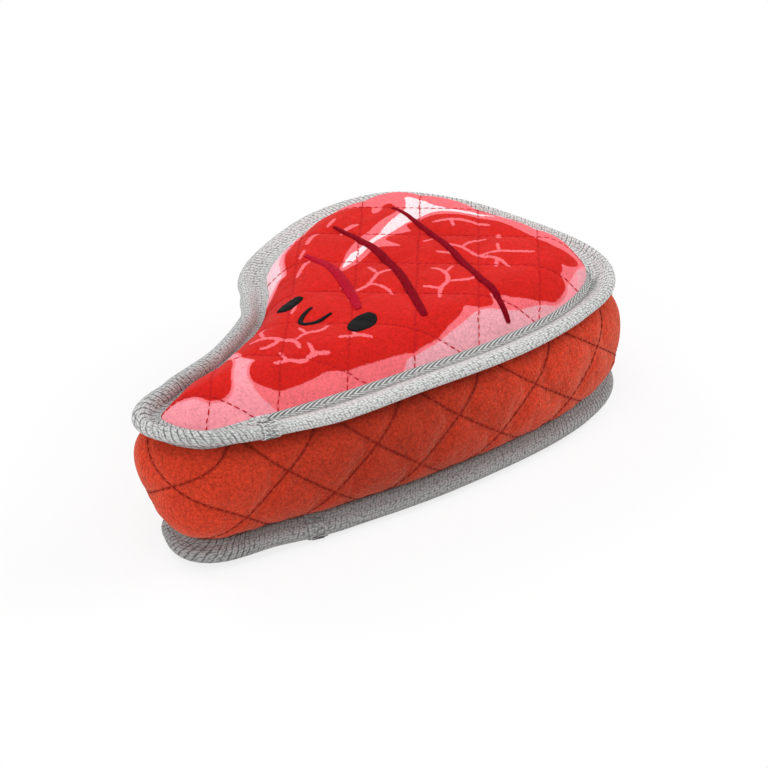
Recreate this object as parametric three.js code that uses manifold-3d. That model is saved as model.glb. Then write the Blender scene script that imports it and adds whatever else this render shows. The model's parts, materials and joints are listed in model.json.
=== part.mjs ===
// Plush squeaky toy for a dog, shaped like a T-bone steak and lying flat on its underside.
// A quilted top panel, a quilted side band and a quilted bottom panel are sewn edge to edge
// with their allowances turned out, and a folded webbing tape binds each of the two seams.
// Fibre fills the toy, and a squeaker lies in the fibre under the middle of the broad lobe.
// Lengths are in millimetres. +X runs from the narrow tail to the broad lobe, +Y to the back.

import * as THREE from 'three';
import { mergeVertices } from 'three/addons/utils/BufferGeometryUtils.js';
import Module from 'manifold-3d';

const wasm = await Module();
wasm.setup();

// Seam outline seen from above, and the heights of the body
const SEAM_LENGTH = 197;
const SEAM_WIDTH = 120;
const WALL_HEIGHT = 39.5;
const WALL_BULGE = 9.5;
const WALL_SQUARENESS = 3.5;
const UNDERSIDE_DEPTH = 8.5;
const UNDERSIDE_REACH = 16;
const CROWN_HEIGHT = 15;
const CROWN_REACH = 19;

// Quilting: the stitched squares of the panels, the diamonds of the side band, and their puffs
const QUILT_PITCH = 23.4;
const QUILT_STEPS = 3;
const LINING_STEPS = 2;
const TOP_PUFF = 1.6;
const BOTTOM_PUFF = 2.2;
const SIDE_PUFF = 2;
const PUFF_START = 2.5;
const PUFF_FULL = 9;
const PUFF_FULLNESS = 0.6;
const FOOT_CUT = 0.5;
const WALL_DIAMONDS = 15;
const DIAMOND_STEPS = 6;
const DIAMOND_PHASE_STEPS = 2;

// Cloth, seam allowances and the gap between pieces that touch
const QUILT_THICKNESS = 3.2;
const THICKENING_REACH = 16;
const BACKING_THICKNESS = 0.5;
const BACKING_LOOSENESS = 0.8;
const ALLOWANCE_LENGTH = 6.5;
const ALLOWANCE_THICKNESS = 1.2;
const PLATE_INSET = 3;
const PLATE_LAP = 2;
const PLATE_STATION_STEP = 3;
const BACKING_STATION_STEP = 2;
const CLEARANCE = 0.3;

// Folded binding tape: from the seam to its fold, its selvedge strip, its wall and its plump roll
const TAPE_LENGTH = 9.5;
const TAPE_SELVEDGE = 3.4;
const TAPE_WALL = 0.6;
const TAPE_FOLD_WALL = 0.9;
const TAPE_ROLL = 5.2;
const TAPE_FOLD_SHARE = 0.5;

// Raised satin stitching on the top panel
const THREAD_HEIGHT = 0.8;
const RIGHT_EYE_LENGTH = 14.2;
const RIGHT_EYE_WIDTH = 8.4;
const LEFT_EYE_LENGTH = 11.6;
const LEFT_EYE_WIDTH = 6;
const SMILE_WIDTH = 1.4;
const SEAR_WIDTH = 2.6;
const STROKE_STEPS = 8;
const STROKE_END_SHARE = 0.5;

// Squeaker: a soft bellows with a neck, and the reed unit that is pressed into the neck
const BELLOWS_RADIUS = 20;
const BELLOWS_WAIST_RADIUS = 16.5;
const BELLOWS_SHOULDER_RADIUS = 12;
const BELLOWS_HEIGHT = 21;
const BELLOWS_WALL = 1.2;
const BELLOWS_PLEAT = 4;
const NECK_RADIUS = 8.6;
const NECK_LENGTH = 4;
const PLUG_FLANGE_RADIUS = 9.4;
const PLUG_FLANGE_THICKNESS = 1.6;
const PLUG_BORE_RADIUS = 4.3;
const REED_BED_WALL = 1;
const REED_BED_DROP = 9;
const REED_WIDTH = 5;
const REED_THICKNESS = 0.35;
const REED_DROP = 7.5;
const REED_ROOT = 3;
const REED_OPENING_DEGREES = 3;
const ROUND_SEGMENTS = 24;

// Seam outline as shares of its length and width, counter-clockwise from the tip of the tail:
// x and y of the top seam, then how far the bottom seam is shifted from it
const OUTLINE_SHARES = [
  [-0.498, 0.098, 0.031, -0.038],
  [-0.469, -0.053, -0.002, -0.008],
  [-0.364, -0.113, -0.006, -0.01],
  [-0.219, -0.173, -0.009, -0.027],
  [-0.047, -0.227, -0.006, -0.037],
  [0.152, -0.277, 0.008, -0.027],
  [0.33, -0.275, 0.014, -0.02],
  [0.457, -0.192, 0.006, -0.027],
  [0.514, -0.045, 0.013, -0.004],
  [0.499, 0.224, 0.012, 0],
  [0.464, 0.48, 0.003, 0],
  [0.392, 0.653, 0, 0],
  [0.249, 0.707, 0.002, -0.003],
  [0.101, 0.659, 0.005, -0.006],
  [-0.016, 0.558, 0.005, -0.01],
  [-0.08, 0.431, 0.002, -0.002],
  [-0.167, 0.306, 0.002, -0.001],
  [-0.304, 0.211, 0.01, -0.021],
  [-0.431, 0.16, 0.02, -0.046],
];

// Lean of the two bindings at the same points, in degrees from upright: top, then bottom
const BINDING_LEAN_DEGREES = [
  [52, 51], [40, 59], [63, 63], [78, 49], [71, 54], [69, 55], [61, 56], [74, 52], [84, 49], [72, 49],
  [72, 49], [73, 49], [75, 49], [81, 49], [75, 49], [59, 49], [25, 49], [8, 49], [11, 49],
];

// Places on the top panel as shares of the seam's length and width
const RIGHT_EYE_SHARES = [-0.069, -0.024];
const RIGHT_EYE_TURN_DEGREES = 13;
const LEFT_EYE_SHARES = [-0.117, 0.22];
const LEFT_EYE_TURN_DEGREES = 2;
const SMILE_SHARES = [
  [-0.105, 0.14], [-0.129, 0.131], [-0.149, 0.115], [-0.157, 0.097], [-0.15, 0.082], [-0.131, 0.074], [-0.091, 0.077],
];
const SEAR_MARK_SHARES = {
  sear_mark_tail: [[0.025, 0.42], [0.031, 0.351], [0.022, 0.261], [-0.005, 0.149], [-0.041, 0.041]],
  sear_mark_middle: [[0.145, 0.502], [0.15, 0.384], [0.134, 0.246], [0.101, 0.089], [0.036, -0.12]],
  sear_mark_lobe: [[0.293, 0.478], [0.287, 0.364], [0.264, 0.205], [0.236, 0.059], [0.184, -0.245]],
};
const SQUEAKER_SHARES = [0.17, 0.21];

// Shares of the wall's height at which its lining bends and its backing ends
const LINING_SHARE = 1 / 4;
const BACKING_SHARE = 1 / 7;

// Heights that follow from the sizes above
const BOTTOM_SEAM = UNDERSIDE_DEPTH;
const TOP_SEAM = BOTTOM_SEAM + WALL_HEIGHT;
const SAG = UNDERSIDE_DEPTH + FOOT_CUT - BOTTOM_PUFF;
const TOP_REACH = TOP_SEAM + CROWN_HEIGHT + TOP_PUFF + QUILT_THICKNESS;
const STATIONS = WALL_DIAMONDS * DIAMOND_STEPS;
const ARC_DIVISIONS = 20;

// Turns any closed geometry into one with merged corners and no flat triangles
function cleanMesh(geometry) {
  const bare = geometry.index ? geometry.clone() : geometry;
  bare.deleteAttribute('normal');
  bare.deleteAttribute('uv');
  const merged = mergeVertices(bare);
  const kept = [];
  const corners = merged.index.array;
  for (let k = 0; k < corners.length; k += 3) {
    const [a, b, c] = [corners[k], corners[k + 1], corners[k + 2]];
    if (a !== b && b !== c && c !== a) kept.push(a, b, c);
  }
  merged.setIndex(kept);
  return merged;
}

function toManifold(geometry) {
  const clean = cleanMesh(geometry);
  const vertProperties = new Float32Array(clean.attributes.position.array);
  const triVerts = new Uint32Array(clean.index.array);
  return new wasm.Manifold(new wasm.Mesh({ numProp: 3, vertProperties, triVerts }));
}

function fromManifold(solid) {
  const mesh = solid.getMesh();
  const geometry = new THREE.BufferGeometry();
  geometry.setAttribute('position', new THREE.BufferAttribute(new Float32Array(mesh.vertProperties), 3));
  geometry.setIndex(Array.from(mesh.triVerts));
  return geometry;
}

// Joins equal rings of points, each to the next, into one geometry that closes on itself both ways
function ringGeometry(rings, leansBack = () => false) {
  const count = rings[0].length;
  const index = [];
  rings.forEach((ring, i) => {
    const here = i * count;
    const next = ((i + 1) % rings.length) * count;
    for (let j = 0; j < count; j++) {
      const up = (j + 1) % count;
      const [a, b, c, d] = [here + j, next + j, next + up, here + up];
      if (leansBack(i, j)) index.push(a, b, d, b, c, d);
      else index.push(a, b, c, a, c, d);
    }
  });
  const geometry = new THREE.BufferGeometry();
  geometry.setFromPoints(rings.flat());
  geometry.setIndex(index);
  return geometry;
}

// Stacks closed loops of points into a solid with a flat cap on each end
function loftGeometry(loops) {
  const count = loops[0].length;
  const index = [];
  for (let level = 0; level + 1 < loops.length; level++) {
    for (let i = 0; i < count; i++) {
      const next = (i + 1) % count;
      const [a, b] = [level * count + i, level * count + next];
      index.push(a, b, b + count, a, b + count, a + count);
    }
  }
  const first = loops[0].map((p) => new THREE.Vector2(p.x, p.y));
  const last = loops.at(-1).map((p) => new THREE.Vector2(p.x, p.y));
  const lift = (loops.length - 1) * count;
  THREE.ShapeUtils.triangulateShape(first, []).forEach(([a, b, c]) => index.push(c, b, a));
  THREE.ShapeUtils.triangulateShape(last, []).forEach((corners) => {
    index.push(...corners.map((corner) => lift + corner));
  });
  const geometry = new THREE.BufferGeometry();
  geometry.setFromPoints(loops.flat());
  geometry.setIndex(index);
  return geometry;
}

// Row of a table at a share of the way round it, blended smoothly between its rows
function tableAt(table, share) {
  const place = share * table.length;
  const row = table[Math.floor(place) % table.length];
  const next = table[(Math.floor(place) + 1) % table.length];
  const blend = THREE.MathUtils.smoothstep(place - Math.floor(place), 0, 1);
  return row.map((value, k) => THREE.MathUtils.lerp(value, next[k], blend));
}

// Every so many members of a loop
function every(step, list) {
  return list.filter((member, i) => i % step === 0);
}

// Outward direction in plan at each point of a counter-clockwise loop
function outwards(loop) {
  return loop.map((point, i) => {
    const before = loop[(i + loop.length - 1) % loop.length];
    const after = loop[(i + 1) % loop.length];
    return new THREE.Vector2(after.y - before.y, before.x - after.x).normalize();
  });
}

// Least lean at which the bottom tape stays clear of the ground
function groundLean() {
  const corner = Math.hypot(TAPE_LENGTH, TAPE_ROLL / 2);
  const room = Math.min((UNDERSIDE_DEPTH - CLEARANCE) / corner, 1);
  return Math.acos(room) + Math.atan(TAPE_ROLL / 2 / TAPE_LENGTH);
}

// Stations along both seams, evenly spaced round the top one
function seamStations() {
  const curve = new THREE.CatmullRomCurve3(
    OUTLINE_SHARES.map(([x, y]) => new THREE.Vector3(x * SEAM_LENGTH, y * SEAM_WIDTH, 0)),
    true,
    'centripetal',
  );
  curve.arcLengthDivisions = STATIONS * ARC_DIVISIONS;
  const tops = [];
  const bottoms = [];
  const leans = [];
  for (let i = 0; i < STATIONS; i++) {
    const share = curve.getUtoTmapping(i / STATIONS);
    const point = curve.getPoint(share);
    const [, , shiftX, shiftY] = tableAt(OUTLINE_SHARES, share);
    tops.push(new THREE.Vector2(point.x, point.y));
    bottoms.push(new THREE.Vector2(point.x + shiftX * SEAM_LENGTH, point.y + shiftY * SEAM_WIDTH));
    leans.push(tableAt(BINDING_LEAN_DEGREES, share).map(THREE.MathUtils.degToRad));
  }
  const topOut = outwards(tops);
  const bottomOut = outwards(bottoms);
  return tops.map((top, i) => ({
    top,
    bottom: bottoms[i],
    topOut: topOut[i],
    bottomOut: bottomOut[i],
    wallOut: topOut[i].clone().add(bottomOut[i]).normalize(),
    topLean: leans[i][0],
    bottomLean: Math.max(leans[i][1], groundLean()),
  }));
}

const stations = seamStations();
const topLoop = stations.map((station) => station.top);
const bottomLoop = stations.map((station) => station.bottom);

// Distance in plan from a point to a loop, negative outside it
function edgeDepth(loop, x, y) {
  let nearest = Infinity;
  let inside = false;
  loop.forEach((a, i) => {
    const b = loop[(i + 1) % loop.length];
    const [dx, dy] = [b.x - a.x, b.y - a.y];
    const along = THREE.MathUtils.clamp(((x - a.x) * dx + (y - a.y) * dy) / (dx * dx + dy * dy), 0, 1);
    nearest = Math.min(nearest, Math.hypot(a.x + along * dx - x, a.y + along * dy - y));
    if ((a.y > y) !== (b.y > y) && x < a.x + ((y - a.y) * dx) / dy) inside = !inside;
  });
  return inside ? nearest : -nearest;
}

// Share of a crown's height at a depth from the seam: a parabola that levels out at its reach
function swell(depth, reach) {
  return 1 - (1 - Math.min(depth / reach, 1)) ** 2;
}

// Share of a puff's height: none on the stitch lines, which run at 45 degrees, nor at the seam
function pillow(x, y, depth) {
  const rise = Math.abs(Math.cos((Math.PI * (x + y) * Math.SQRT1_2) / QUILT_PITCH));
  const fall = Math.abs(Math.cos((Math.PI * (x - y) * Math.SQRT1_2) / QUILT_PITCH));
  return (rise * fall) ** PUFF_FULLNESS * THREE.MathUtils.smoothstep(depth, PUFF_START, PUFF_FULL);
}

// Heights of the panels' outer and inner faces
function topOuter(x, y) {
  const depth = edgeDepth(topLoop, x, y);
  return TOP_SEAM + CROWN_HEIGHT * swell(depth, CROWN_REACH) + TOP_PUFF * pillow(x, y, depth);
}

// A quilted layer is as thin as its allowance at the seam and thickens to its full wadding
function thickness(depth) {
  const wadding = QUILT_THICKNESS - ALLOWANCE_THICKNESS;
  return ALLOWANCE_THICKNESS + wadding * swell(Math.max(depth, 0), THICKENING_REACH);
}

function topInner(x, y) {
  const depth = edgeDepth(topLoop, x, y);
  return TOP_SEAM + CROWN_HEIGHT * swell(depth, CROWN_REACH) - thickness(depth);
}

function bottomOuter(x, y) {
  const depth = edgeDepth(bottomLoop, x, y);
  return BOTTOM_SEAM - SAG * swell(depth, UNDERSIDE_REACH) - BOTTOM_PUFF * pillow(x, y, depth);
}

function bottomInner(x, y) {
  const depth = edgeDepth(bottomLoop, x, y);
  return BOTTOM_SEAM - SAG * swell(depth, 2 * UNDERSIDE_REACH) + thickness(depth);
}

// Solid under a height function, on a square grid turned by 45 degrees so that the stitch lines
// run along its edges, with so many steps to each quilting pitch
function solidUnder(height, steps, low = -TOP_REACH) {
  const step = QUILT_PITCH / steps;
  const half = Math.ceil(SEAM_LENGTH / step / 2) + steps;
  const start = QUILT_PITCH / 2 - half * step;
  const count = 2 * half + 1;
  const points = [];
  for (let i = 0; i < count; i++) {
    for (let j = 0; j < count; j++) {
      const [across, along] = [start + i * step, start + j * step];
      const [x, y] = [(across + along) * Math.SQRT1_2, (along - across) * Math.SQRT1_2];
      points.push([x, y]);
    }
  }
  const tops = points.map(([x, y]) => new THREE.Vector3(x, y, height(x, y)));
  const feet = points.map(([x, y]) => new THREE.Vector3(x, y, low));
  const total = points.length;
  const index = [];
  for (let i = 0; i + 1 < count; i++) {
    for (let j = 0; j + 1 < count; j++) {
      const [a, b, c, d] = [i * count + j, (i + 1) * count + j, (i + 1) * count + j + 1, i * count + j + 1];
      index.push(a, b, c, a, c, d);
      index.push(total + a, total + c, total + b, total + a, total + d, total + c);
    }
  }
  const skirt = (a, b) => index.push(a, total + a, total + b, a, total + b, b);
  for (let k = 0; k + 1 < count; k++) {
    skirt(k + 1, k);
    skirt(k * count, (k + 1) * count);
    skirt((count - 1) * count + k, (count - 1) * count + k + 1);
    skirt((k + 2) * count - 1, (k + 1) * count - 1);
  }
  const geometry = new THREE.BufferGeometry();
  geometry.setFromPoints([...tops, ...feet]);
  geometry.setIndex(index);
  return toManifold(geometry);
}

// Upright prism over a loop, drawn in by an inset
function prism(loop, inset, low = -TOP_REACH, high = TOP_REACH + TOP_SEAM) {
  const out = outwards(loop);
  const drawn = loop.map((point, i) => point.clone().addScaledVector(out[i], -inset));
  const levels = [low, high].map((z) => drawn.map((point) => new THREE.Vector3(point.x, point.y, z)));
  return toManifold(loftGeometry(levels));
}

// Block between two heights that reaches past the toy on every side
function slab(low, high) {
  const block = new THREE.BoxGeometry(2 * SEAM_LENGTH, 2 * SEAM_LENGTH, high - low);
  return toManifold(block.translate(0, 0, (low + high) / 2));
}

// A seam's section: n runs outwards in plan, h runs away from the wall, and the flange of the
// allowances leans by its angle from h. The panel and the wall each leave the seam on a ray.
function seamFrame(station, isTop) {
  const lean = isTop ? station.topLean : station.bottomLean;
  const place = isTop ? station.top : station.bottom;
  const out = isTop ? station.topOut : station.bottomOut;
  const lap = PLATE_INSET + PLATE_LAP;
  const rise = isTop ? CROWN_HEIGHT * swell(lap, CROWN_REACH) : SAG * swell(lap, UNDERSIDE_REACH);
  const firstRow = wallPoint(station, isTop ? 1 - 1 / DIAMOND_STEPS : 1 / DIAMOND_STEPS, 0);
  const wallRun = new THREE.Vector2(firstRow.x - place.x, firstRow.y - place.y).dot(out);
  const flange = new THREE.Vector2(Math.sin(lean), Math.cos(lean));
  return {
    lean,
    flange,
    across: new THREE.Vector2(flange.y, -flange.x),
    panelRay: new THREE.Vector2(-lap, rise).normalize(),
    wallRay: new THREE.Vector2(wallRun, -WALL_HEIGHT / DIAMOND_STEPS).normalize(),
    toPoint: (n, h) =>
      new THREE.Vector3(
        place.x + out.x * n,
        place.y + out.y * n,
        isTop ? TOP_SEAM + h : BOTTOM_SEAM - h,
      ),
  };
}

// How far the wall bulges out at a share of its height: fast beside the seams, then nearly upright
function bulgeAt(share) {
  return WALL_BULGE * (1 - Math.abs(2 * share - 1) ** WALL_SQUARENESS);
}

// Point at a share of the wall's height, an offset outwards from the straight line between the seams
function wallLine(station, share, offset) {
  const place = station.bottom.clone().lerp(station.top, share);
  place.addScaledVector(station.wallOut, offset);
  return new THREE.Vector3(place.x, place.y, BOTTOM_SEAM + WALL_HEIGHT * share);
}

// The same, with the offset taken from the bulged face
function wallPoint(station, share, offset) {
  return wallLine(station, share, bulgeAt(share) + offset);
}

// Where two lines of a section meet
function meet(pointA, rayA, pointB, rayB) {
  const gap = pointB.clone().sub(pointA);
  const along = gap.cross(rayB) / rayA.cross(rayB);
  return pointA.clone().addScaledVector(rayA, along);
}

// Corners of a cloth layer that comes along a ray and turns out into the flange on one side of it:
// its outer corner, the tip of its allowance, and its inner corner
function turnedEdge(frame, ray, side) {
  const seam = new THREE.Vector2(0, 0);
  const inwards = new THREE.Vector2(ray.y, -ray.x).multiplyScalar(side);
  const jointFace = frame.across.clone().multiplyScalar((side * CLEARANCE) / 2);
  const outerFace = frame.across.clone().multiplyScalar(side * (CLEARANCE / 2 + ALLOWANCE_THICKNESS));
  const backFace = inwards.clone().multiplyScalar(ALLOWANCE_THICKNESS);
  return {
    outer: meet(seam, ray, outerFace, frame.flange),
    tip: jointFace.clone().addScaledVector(frame.flange, ALLOWANCE_LENGTH),
    inner: meet(backFace, ray, jointFace, frame.flange),
    inwards,
  };
}

// Allowance of a panel with the strip that laps into the panel's plate
function panelAllowance(isTop) {
  const rings = stations.map((station) => {
    const frame = seamFrame(station, isTop);
    const edge = turnedEdge(frame, frame.panelRay, -1);
    const root = frame.panelRay.clone().multiplyScalar((PLATE_INSET + PLATE_LAP) / -frame.panelRay.x);
    root.addScaledVector(edge.inwards, ALLOWANCE_THICKNESS / 2);
    const section = [root, edge.outer, edge.tip, edge.inner];
    return section.map((p) => frame.toPoint(p.x, p.y));
  });
  return toManifold(outwardFacing(ringGeometry(rings)));
}

// Turns a geometry's faces round where they point inwards
function outwardFacing(geometry) {
  const position = geometry.attributes.position;
  const corners = geometry.index.array;
  const [a, b, c] = [new THREE.Vector3(), new THREE.Vector3(), new THREE.Vector3()];
  let volume = 0;
  for (let k = 0; k < corners.length; k += 3) {
    a.fromBufferAttribute(position, corners[k]);
    b.fromBufferAttribute(position, corners[k + 1]);
    c.fromBufferAttribute(position, corners[k + 2]);
    volume += a.dot(b.cross(c));
  }
  if (volume < 0) geometry.setIndex(Array.from(corners).reverse());
  return geometry;
}

function topPanel() {
  const plate = solidUnder(topOuter, QUILT_STEPS)
    .subtract(solidUnder(topInner, LINING_STEPS))
    .intersect(prism(every(PLATE_STATION_STEP, topLoop), PLATE_INSET));
  return fromManifold(plate.add(panelAllowance(true)));
}

function bottomPanel() {
  const plate = solidUnder(bottomInner, LINING_STEPS)
    .subtract(solidUnder(bottomOuter, LINING_STEPS))
    .intersect(prism(every(PLATE_STATION_STEP, bottomLoop), PLATE_INSET));
  return fromManifold(plate.add(panelAllowance(false)).subtract(slab(-TOP_REACH, 0)));
}

// Thin cloth behind a panel, parallel to the panel's inner face
function panelBacking(inner, loop, towards) {
  const near = (x, y) => inner(x, y) + towards * CLEARANCE;
  const far = (x, y) => inner(x, y) + towards * (CLEARANCE + BACKING_THICKNESS);
  const [upper, lower] = towards > 0 ? [far, near] : [near, far];
  return fromManifold(
    solidUnder(upper, LINING_STEPS)
      .subtract(solidUnder(lower, LINING_STEPS))
      .intersect(prism(every(PLATE_STATION_STEP, loop), PLATE_INSET + PLATE_LAP)),
  );
}

// Share of a diamond's puff at a step along the band and a row up it
function diamondPillow(column, row) {
  const rise = Math.abs(Math.sin((Math.PI * (column + row + DIAMOND_PHASE_STEPS)) / DIAMOND_STEPS));
  const fall = Math.abs(Math.sin((Math.PI * (column - row + DIAMOND_PHASE_STEPS)) / DIAMOND_STEPS));
  return (rise * fall) ** PUFF_FULLNESS;
}

function sideBand() {
  const rings = stations.map((station, column) => {
    const upper = seamFrame(station, true);
    const lower = seamFrame(station, false);
    const upperEdge = turnedEdge(upper, upper.wallRay, 1);
    const lowerEdge = turnedEdge(lower, lower.wallRay, 1);
    const face = [];
    for (let row = 1; row < DIAMOND_STEPS; row++) {
      face.push(wallPoint(station, row / DIAMOND_STEPS, SIDE_PUFF * diamondPillow(column, row)));
    }
    const toUpper = (p) => upper.toPoint(p.x, p.y);
    const toLower = (p) => lower.toPoint(p.x, p.y);
    return [
      toLower(lowerEdge.outer),
      ...face,
      toUpper(upperEdge.outer),
      toUpper(upperEdge.tip),
      toUpper(upperEdge.inner),
      wallPoint(station, 1 - LINING_SHARE, -QUILT_THICKNESS),
      wallPoint(station, LINING_SHARE, -QUILT_THICKNESS),
      toLower(lowerEdge.inner),
      toLower(lowerEdge.tip),
    ];
  });
  const alongFallingLine = (column, row) =>
    row < DIAMOND_STEPS && (column + 1 + row + DIAMOND_PHASE_STEPS) % DIAMOND_STEPS === 0;
  return outwardFacing(ringGeometry(rings, alongFallingLine));
}

// Thin cloth behind the side band, loose enough to have half as many stations
function sideBacking() {
  const middle = bulgeAt(LINING_SHARE) - QUILT_THICKNESS - BACKING_LOOSENESS;
  const edge = -BACKING_LOOSENESS;
  const rings = every(BACKING_STATION_STEP, stations).map((station) => [
    wallLine(station, BACKING_SHARE, edge),
    wallLine(station, LINING_SHARE, middle),
    wallLine(station, 1 - LINING_SHARE, middle),
    wallLine(station, 1 - BACKING_SHARE, edge),
    wallLine(station, 1 - BACKING_SHARE, edge - BACKING_THICKNESS),
    wallLine(station, 1 - LINING_SHARE, middle - BACKING_THICKNESS),
    wallLine(station, LINING_SHARE, middle - BACKING_THICKNESS),
    wallLine(station, BACKING_SHARE, edge - BACKING_THICKNESS),
  ]);
  return outwardFacing(ringGeometry(rings));
}

// Binding tape folded over both allowances. Each leg starts as near to the seam as the cloth that
// it lies on lets it, runs as a flat selvedge to its stitch line, and swells into the roll.
function bindingTape(isTop) {
  const slotHalf = CLEARANCE / 2 + ALLOWANCE_THICKNESS + CLEARANCE;
  const slotEnd = TAPE_LENGTH - TAPE_FOLD_WALL;
  const slotAt = (s) => slotHalf * (1 - s / slotEnd);
  const legHalf = slotHalf + TAPE_WALL;
  const rings = stations.map((station) => {
    const frame = seamFrame(station, isTop);
    const puffedRay = frame.wallRay.clone();
    puffedRay.x += SIDE_PUFF / (WALL_HEIGHT / DIAMOND_STEPS) / 2;
    const wallTurn = Math.abs(Math.PI - Math.atan2(puffedRay.x, -puffedRay.y) - frame.lean);
    const panelTurn = frame.lean + Math.atan2(-frame.panelRay.x, frame.panelRay.y);
    const wallStart = Math.max(legHalf / Math.tan(wallTurn), 0) + CLEARANCE;
    const panelStart = Math.max(legHalf / Math.tan(panelTurn), 0) + CLEARANCE;
    const section = [
      [wallStart, legHalf],
      [TAPE_SELVEDGE, slotAt(TAPE_SELVEDGE) + TAPE_WALL],
      [(TAPE_SELVEDGE + TAPE_LENGTH) / 2 - TAPE_WALL, TAPE_ROLL / 2],
      [TAPE_LENGTH, TAPE_FOLD_SHARE * (TAPE_ROLL / 2)],
      [TAPE_LENGTH, -TAPE_FOLD_SHARE * (TAPE_ROLL / 2)],
      [(TAPE_SELVEDGE + TAPE_LENGTH) / 2 - TAPE_WALL, -TAPE_ROLL / 2],
      [TAPE_SELVEDGE, -slotAt(TAPE_SELVEDGE) - TAPE_WALL],
      [panelStart, -legHalf],
      [panelStart, -slotAt(panelStart)],
      [slotEnd, 0],
      [wallStart, slotAt(wallStart)],
    ];
    return section.map(([s, off]) => {
      const p = frame.flange.clone().multiplyScalar(s).addScaledVector(frame.across, off);
      return frame.toPoint(p.x, p.y);
    });
  });
  const slotFaceOnWall = rings[0].length - 2;
  return outwardFacing(ringGeometry(rings, (i, j) => isTop && j === slotFaceOnWall));
}

// Satin stitching: a pad of even thickness over the quilted face, inside an outline in plan
function stitchedPad(outline) {
  const over = (gap) => (x, y) => topOuter(x, y) + gap;
  return fromManifold(
    solidUnder(over(CLEARANCE + THREAD_HEIGHT), QUILT_STEPS)
      .subtract(solidUnder(over(CLEARANCE), QUILT_STEPS))
      .intersect(prism(outline, 0)),
  );
}

function eyeOutline([shareX, shareY], length, width, turn) {
  const ellipse = new THREE.EllipseCurve(0, 0, length / 2, width / 2, 0, 2 * Math.PI, false, turn);
  const centre = new THREE.Vector2(shareX * SEAM_LENGTH, shareY * SEAM_WIDTH);
  return ellipse.getPoints(ROUND_SEGMENTS / 2).slice(0, -1).map((point) => point.add(centre));
}

// Outline of a line of stitching that follows a smooth curve and narrows at both ends
function strokeOutline(shares, width) {
  const places = shares.map(([x, y]) => new THREE.Vector2(x * SEAM_LENGTH, y * SEAM_WIDTH));
  const curve = new THREE.SplineCurve(places);
  const left = [];
  const right = [];
  for (let k = 0; k <= STROKE_STEPS; k++) {
    const point = curve.getPoint(k / STROKE_STEPS);
    const along = curve.getTangent(k / STROKE_STEPS);
    const half = (width / 2) * (k === 0 || k === STROKE_STEPS ? STROKE_END_SHARE : 1);
    left.push(point.clone().add(new THREE.Vector2(-along.y, along.x).multiplyScalar(half)));
    right.unshift(point.clone().add(new THREE.Vector2(along.y, -along.x).multiplyScalar(half)));
  }
  const outline = [...left, ...right];
  return THREE.ShapeUtils.area(outline) > 0 ? outline : outline.reverse();
}

// Squeaker, measured from the middle of its height
const squeakerX = SQUEAKER_SHARES[0] * SEAM_LENGTH;
const squeakerY = SQUEAKER_SHARES[1] * SEAM_WIDTH;
const squeakerZ = (BOTTOM_SEAM + TOP_SEAM) / 2;
const bellowsTop = BELLOWS_HEIGHT / 2;
const neckTop = bellowsTop + NECK_LENGTH;
const neckBore = NECK_RADIUS - BELLOWS_WALL;
const plugBottom = bellowsTop - BELLOWS_WALL;

function turned(profile) {
  return new THREE.LatheGeometry(
    profile.map(([r, z]) => new THREE.Vector2(r, z)),
    ROUND_SEGMENTS,
  ).rotateX(Math.PI / 2);
}

// Half section of the bellows from its bottom to the neck, drawn in by a wall
function bellowsProfile(wall) {
  return [
    [0, -bellowsTop + wall],
    [BELLOWS_SHOULDER_RADIUS - wall / 2, -bellowsTop + wall],
    [BELLOWS_RADIUS - wall, -BELLOWS_PLEAT - wall / 2],
    [BELLOWS_RADIUS - wall, -BELLOWS_PLEAT + wall / 2],
    [BELLOWS_WAIST_RADIUS - wall, 0],
    [BELLOWS_RADIUS - wall, BELLOWS_PLEAT - wall / 2],
    [BELLOWS_RADIUS - wall, BELLOWS_PLEAT + wall / 2],
    [BELLOWS_SHOULDER_RADIUS - wall / 2, bellowsTop - wall],
    [NECK_RADIUS - wall, bellowsTop - wall],
    [NECK_RADIUS - wall, neckTop],
  ];
}

function squeakerBellows() {
  return turned([...bellowsProfile(0), ...bellowsProfile(BELLOWS_WALL).reverse()]);
}

function reedPlug() {
  const stem = neckBore - CLEARANCE;
  const seat = neckTop + CLEARANCE;
  return turned([
    [PLUG_BORE_RADIUS, plugBottom],
    [stem, plugBottom],
    [stem, seat],
    [PLUG_FLANGE_RADIUS, seat],
    [PLUG_FLANGE_RADIUS, seat + PLUG_FLANGE_THICKNESS],
    [PLUG_BORE_RADIUS, seat + PLUG_FLANGE_THICKNESS],
    [PLUG_BORE_RADIUS, plugBottom],
  ]);
}

// Half-round channel with a closed foot, held in the plug's bore, its open face towards the reed
function reedBed() {
  const outerRadius = PLUG_BORE_RADIUS - CLEARANCE;
  const innerRadius = outerRadius - REED_BED_WALL;
  const length = neckTop - plugBottom + REED_BED_DROP;
  const halfDisc = (radius) => new THREE.Shape().absarc(0, 0, radius, Math.PI, 2 * Math.PI, false);
  const options = { depth: length, bevelEnabled: false, curveSegments: ROUND_SEGMENTS / 2 };
  const outer = toManifold(new THREE.ExtrudeGeometry(halfDisc(outerRadius), options));
  const channel = new THREE.ExtrudeGeometry(halfDisc(innerRadius), options);
  channel.scale(1, 1 + REED_BED_WALL / length, 1).translate(0, REED_BED_WALL / length, REED_BED_WALL);
  const bed = outer.subtract(toManifold(channel));
  return fromManifold(bed).translate(0, 0, plugBottom - REED_BED_DROP);
}

// Thin tongue with its root in the plug's bore, opened a few degrees from the bed's face
function reedTongue() {
  const length = REED_ROOT + REED_DROP;
  const tongue = new THREE.BoxGeometry(REED_WIDTH, REED_THICKNESS, length);
  return tongue.translate(0, REED_THICKNESS / 2, REED_ROOT - length / 2);
}

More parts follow.
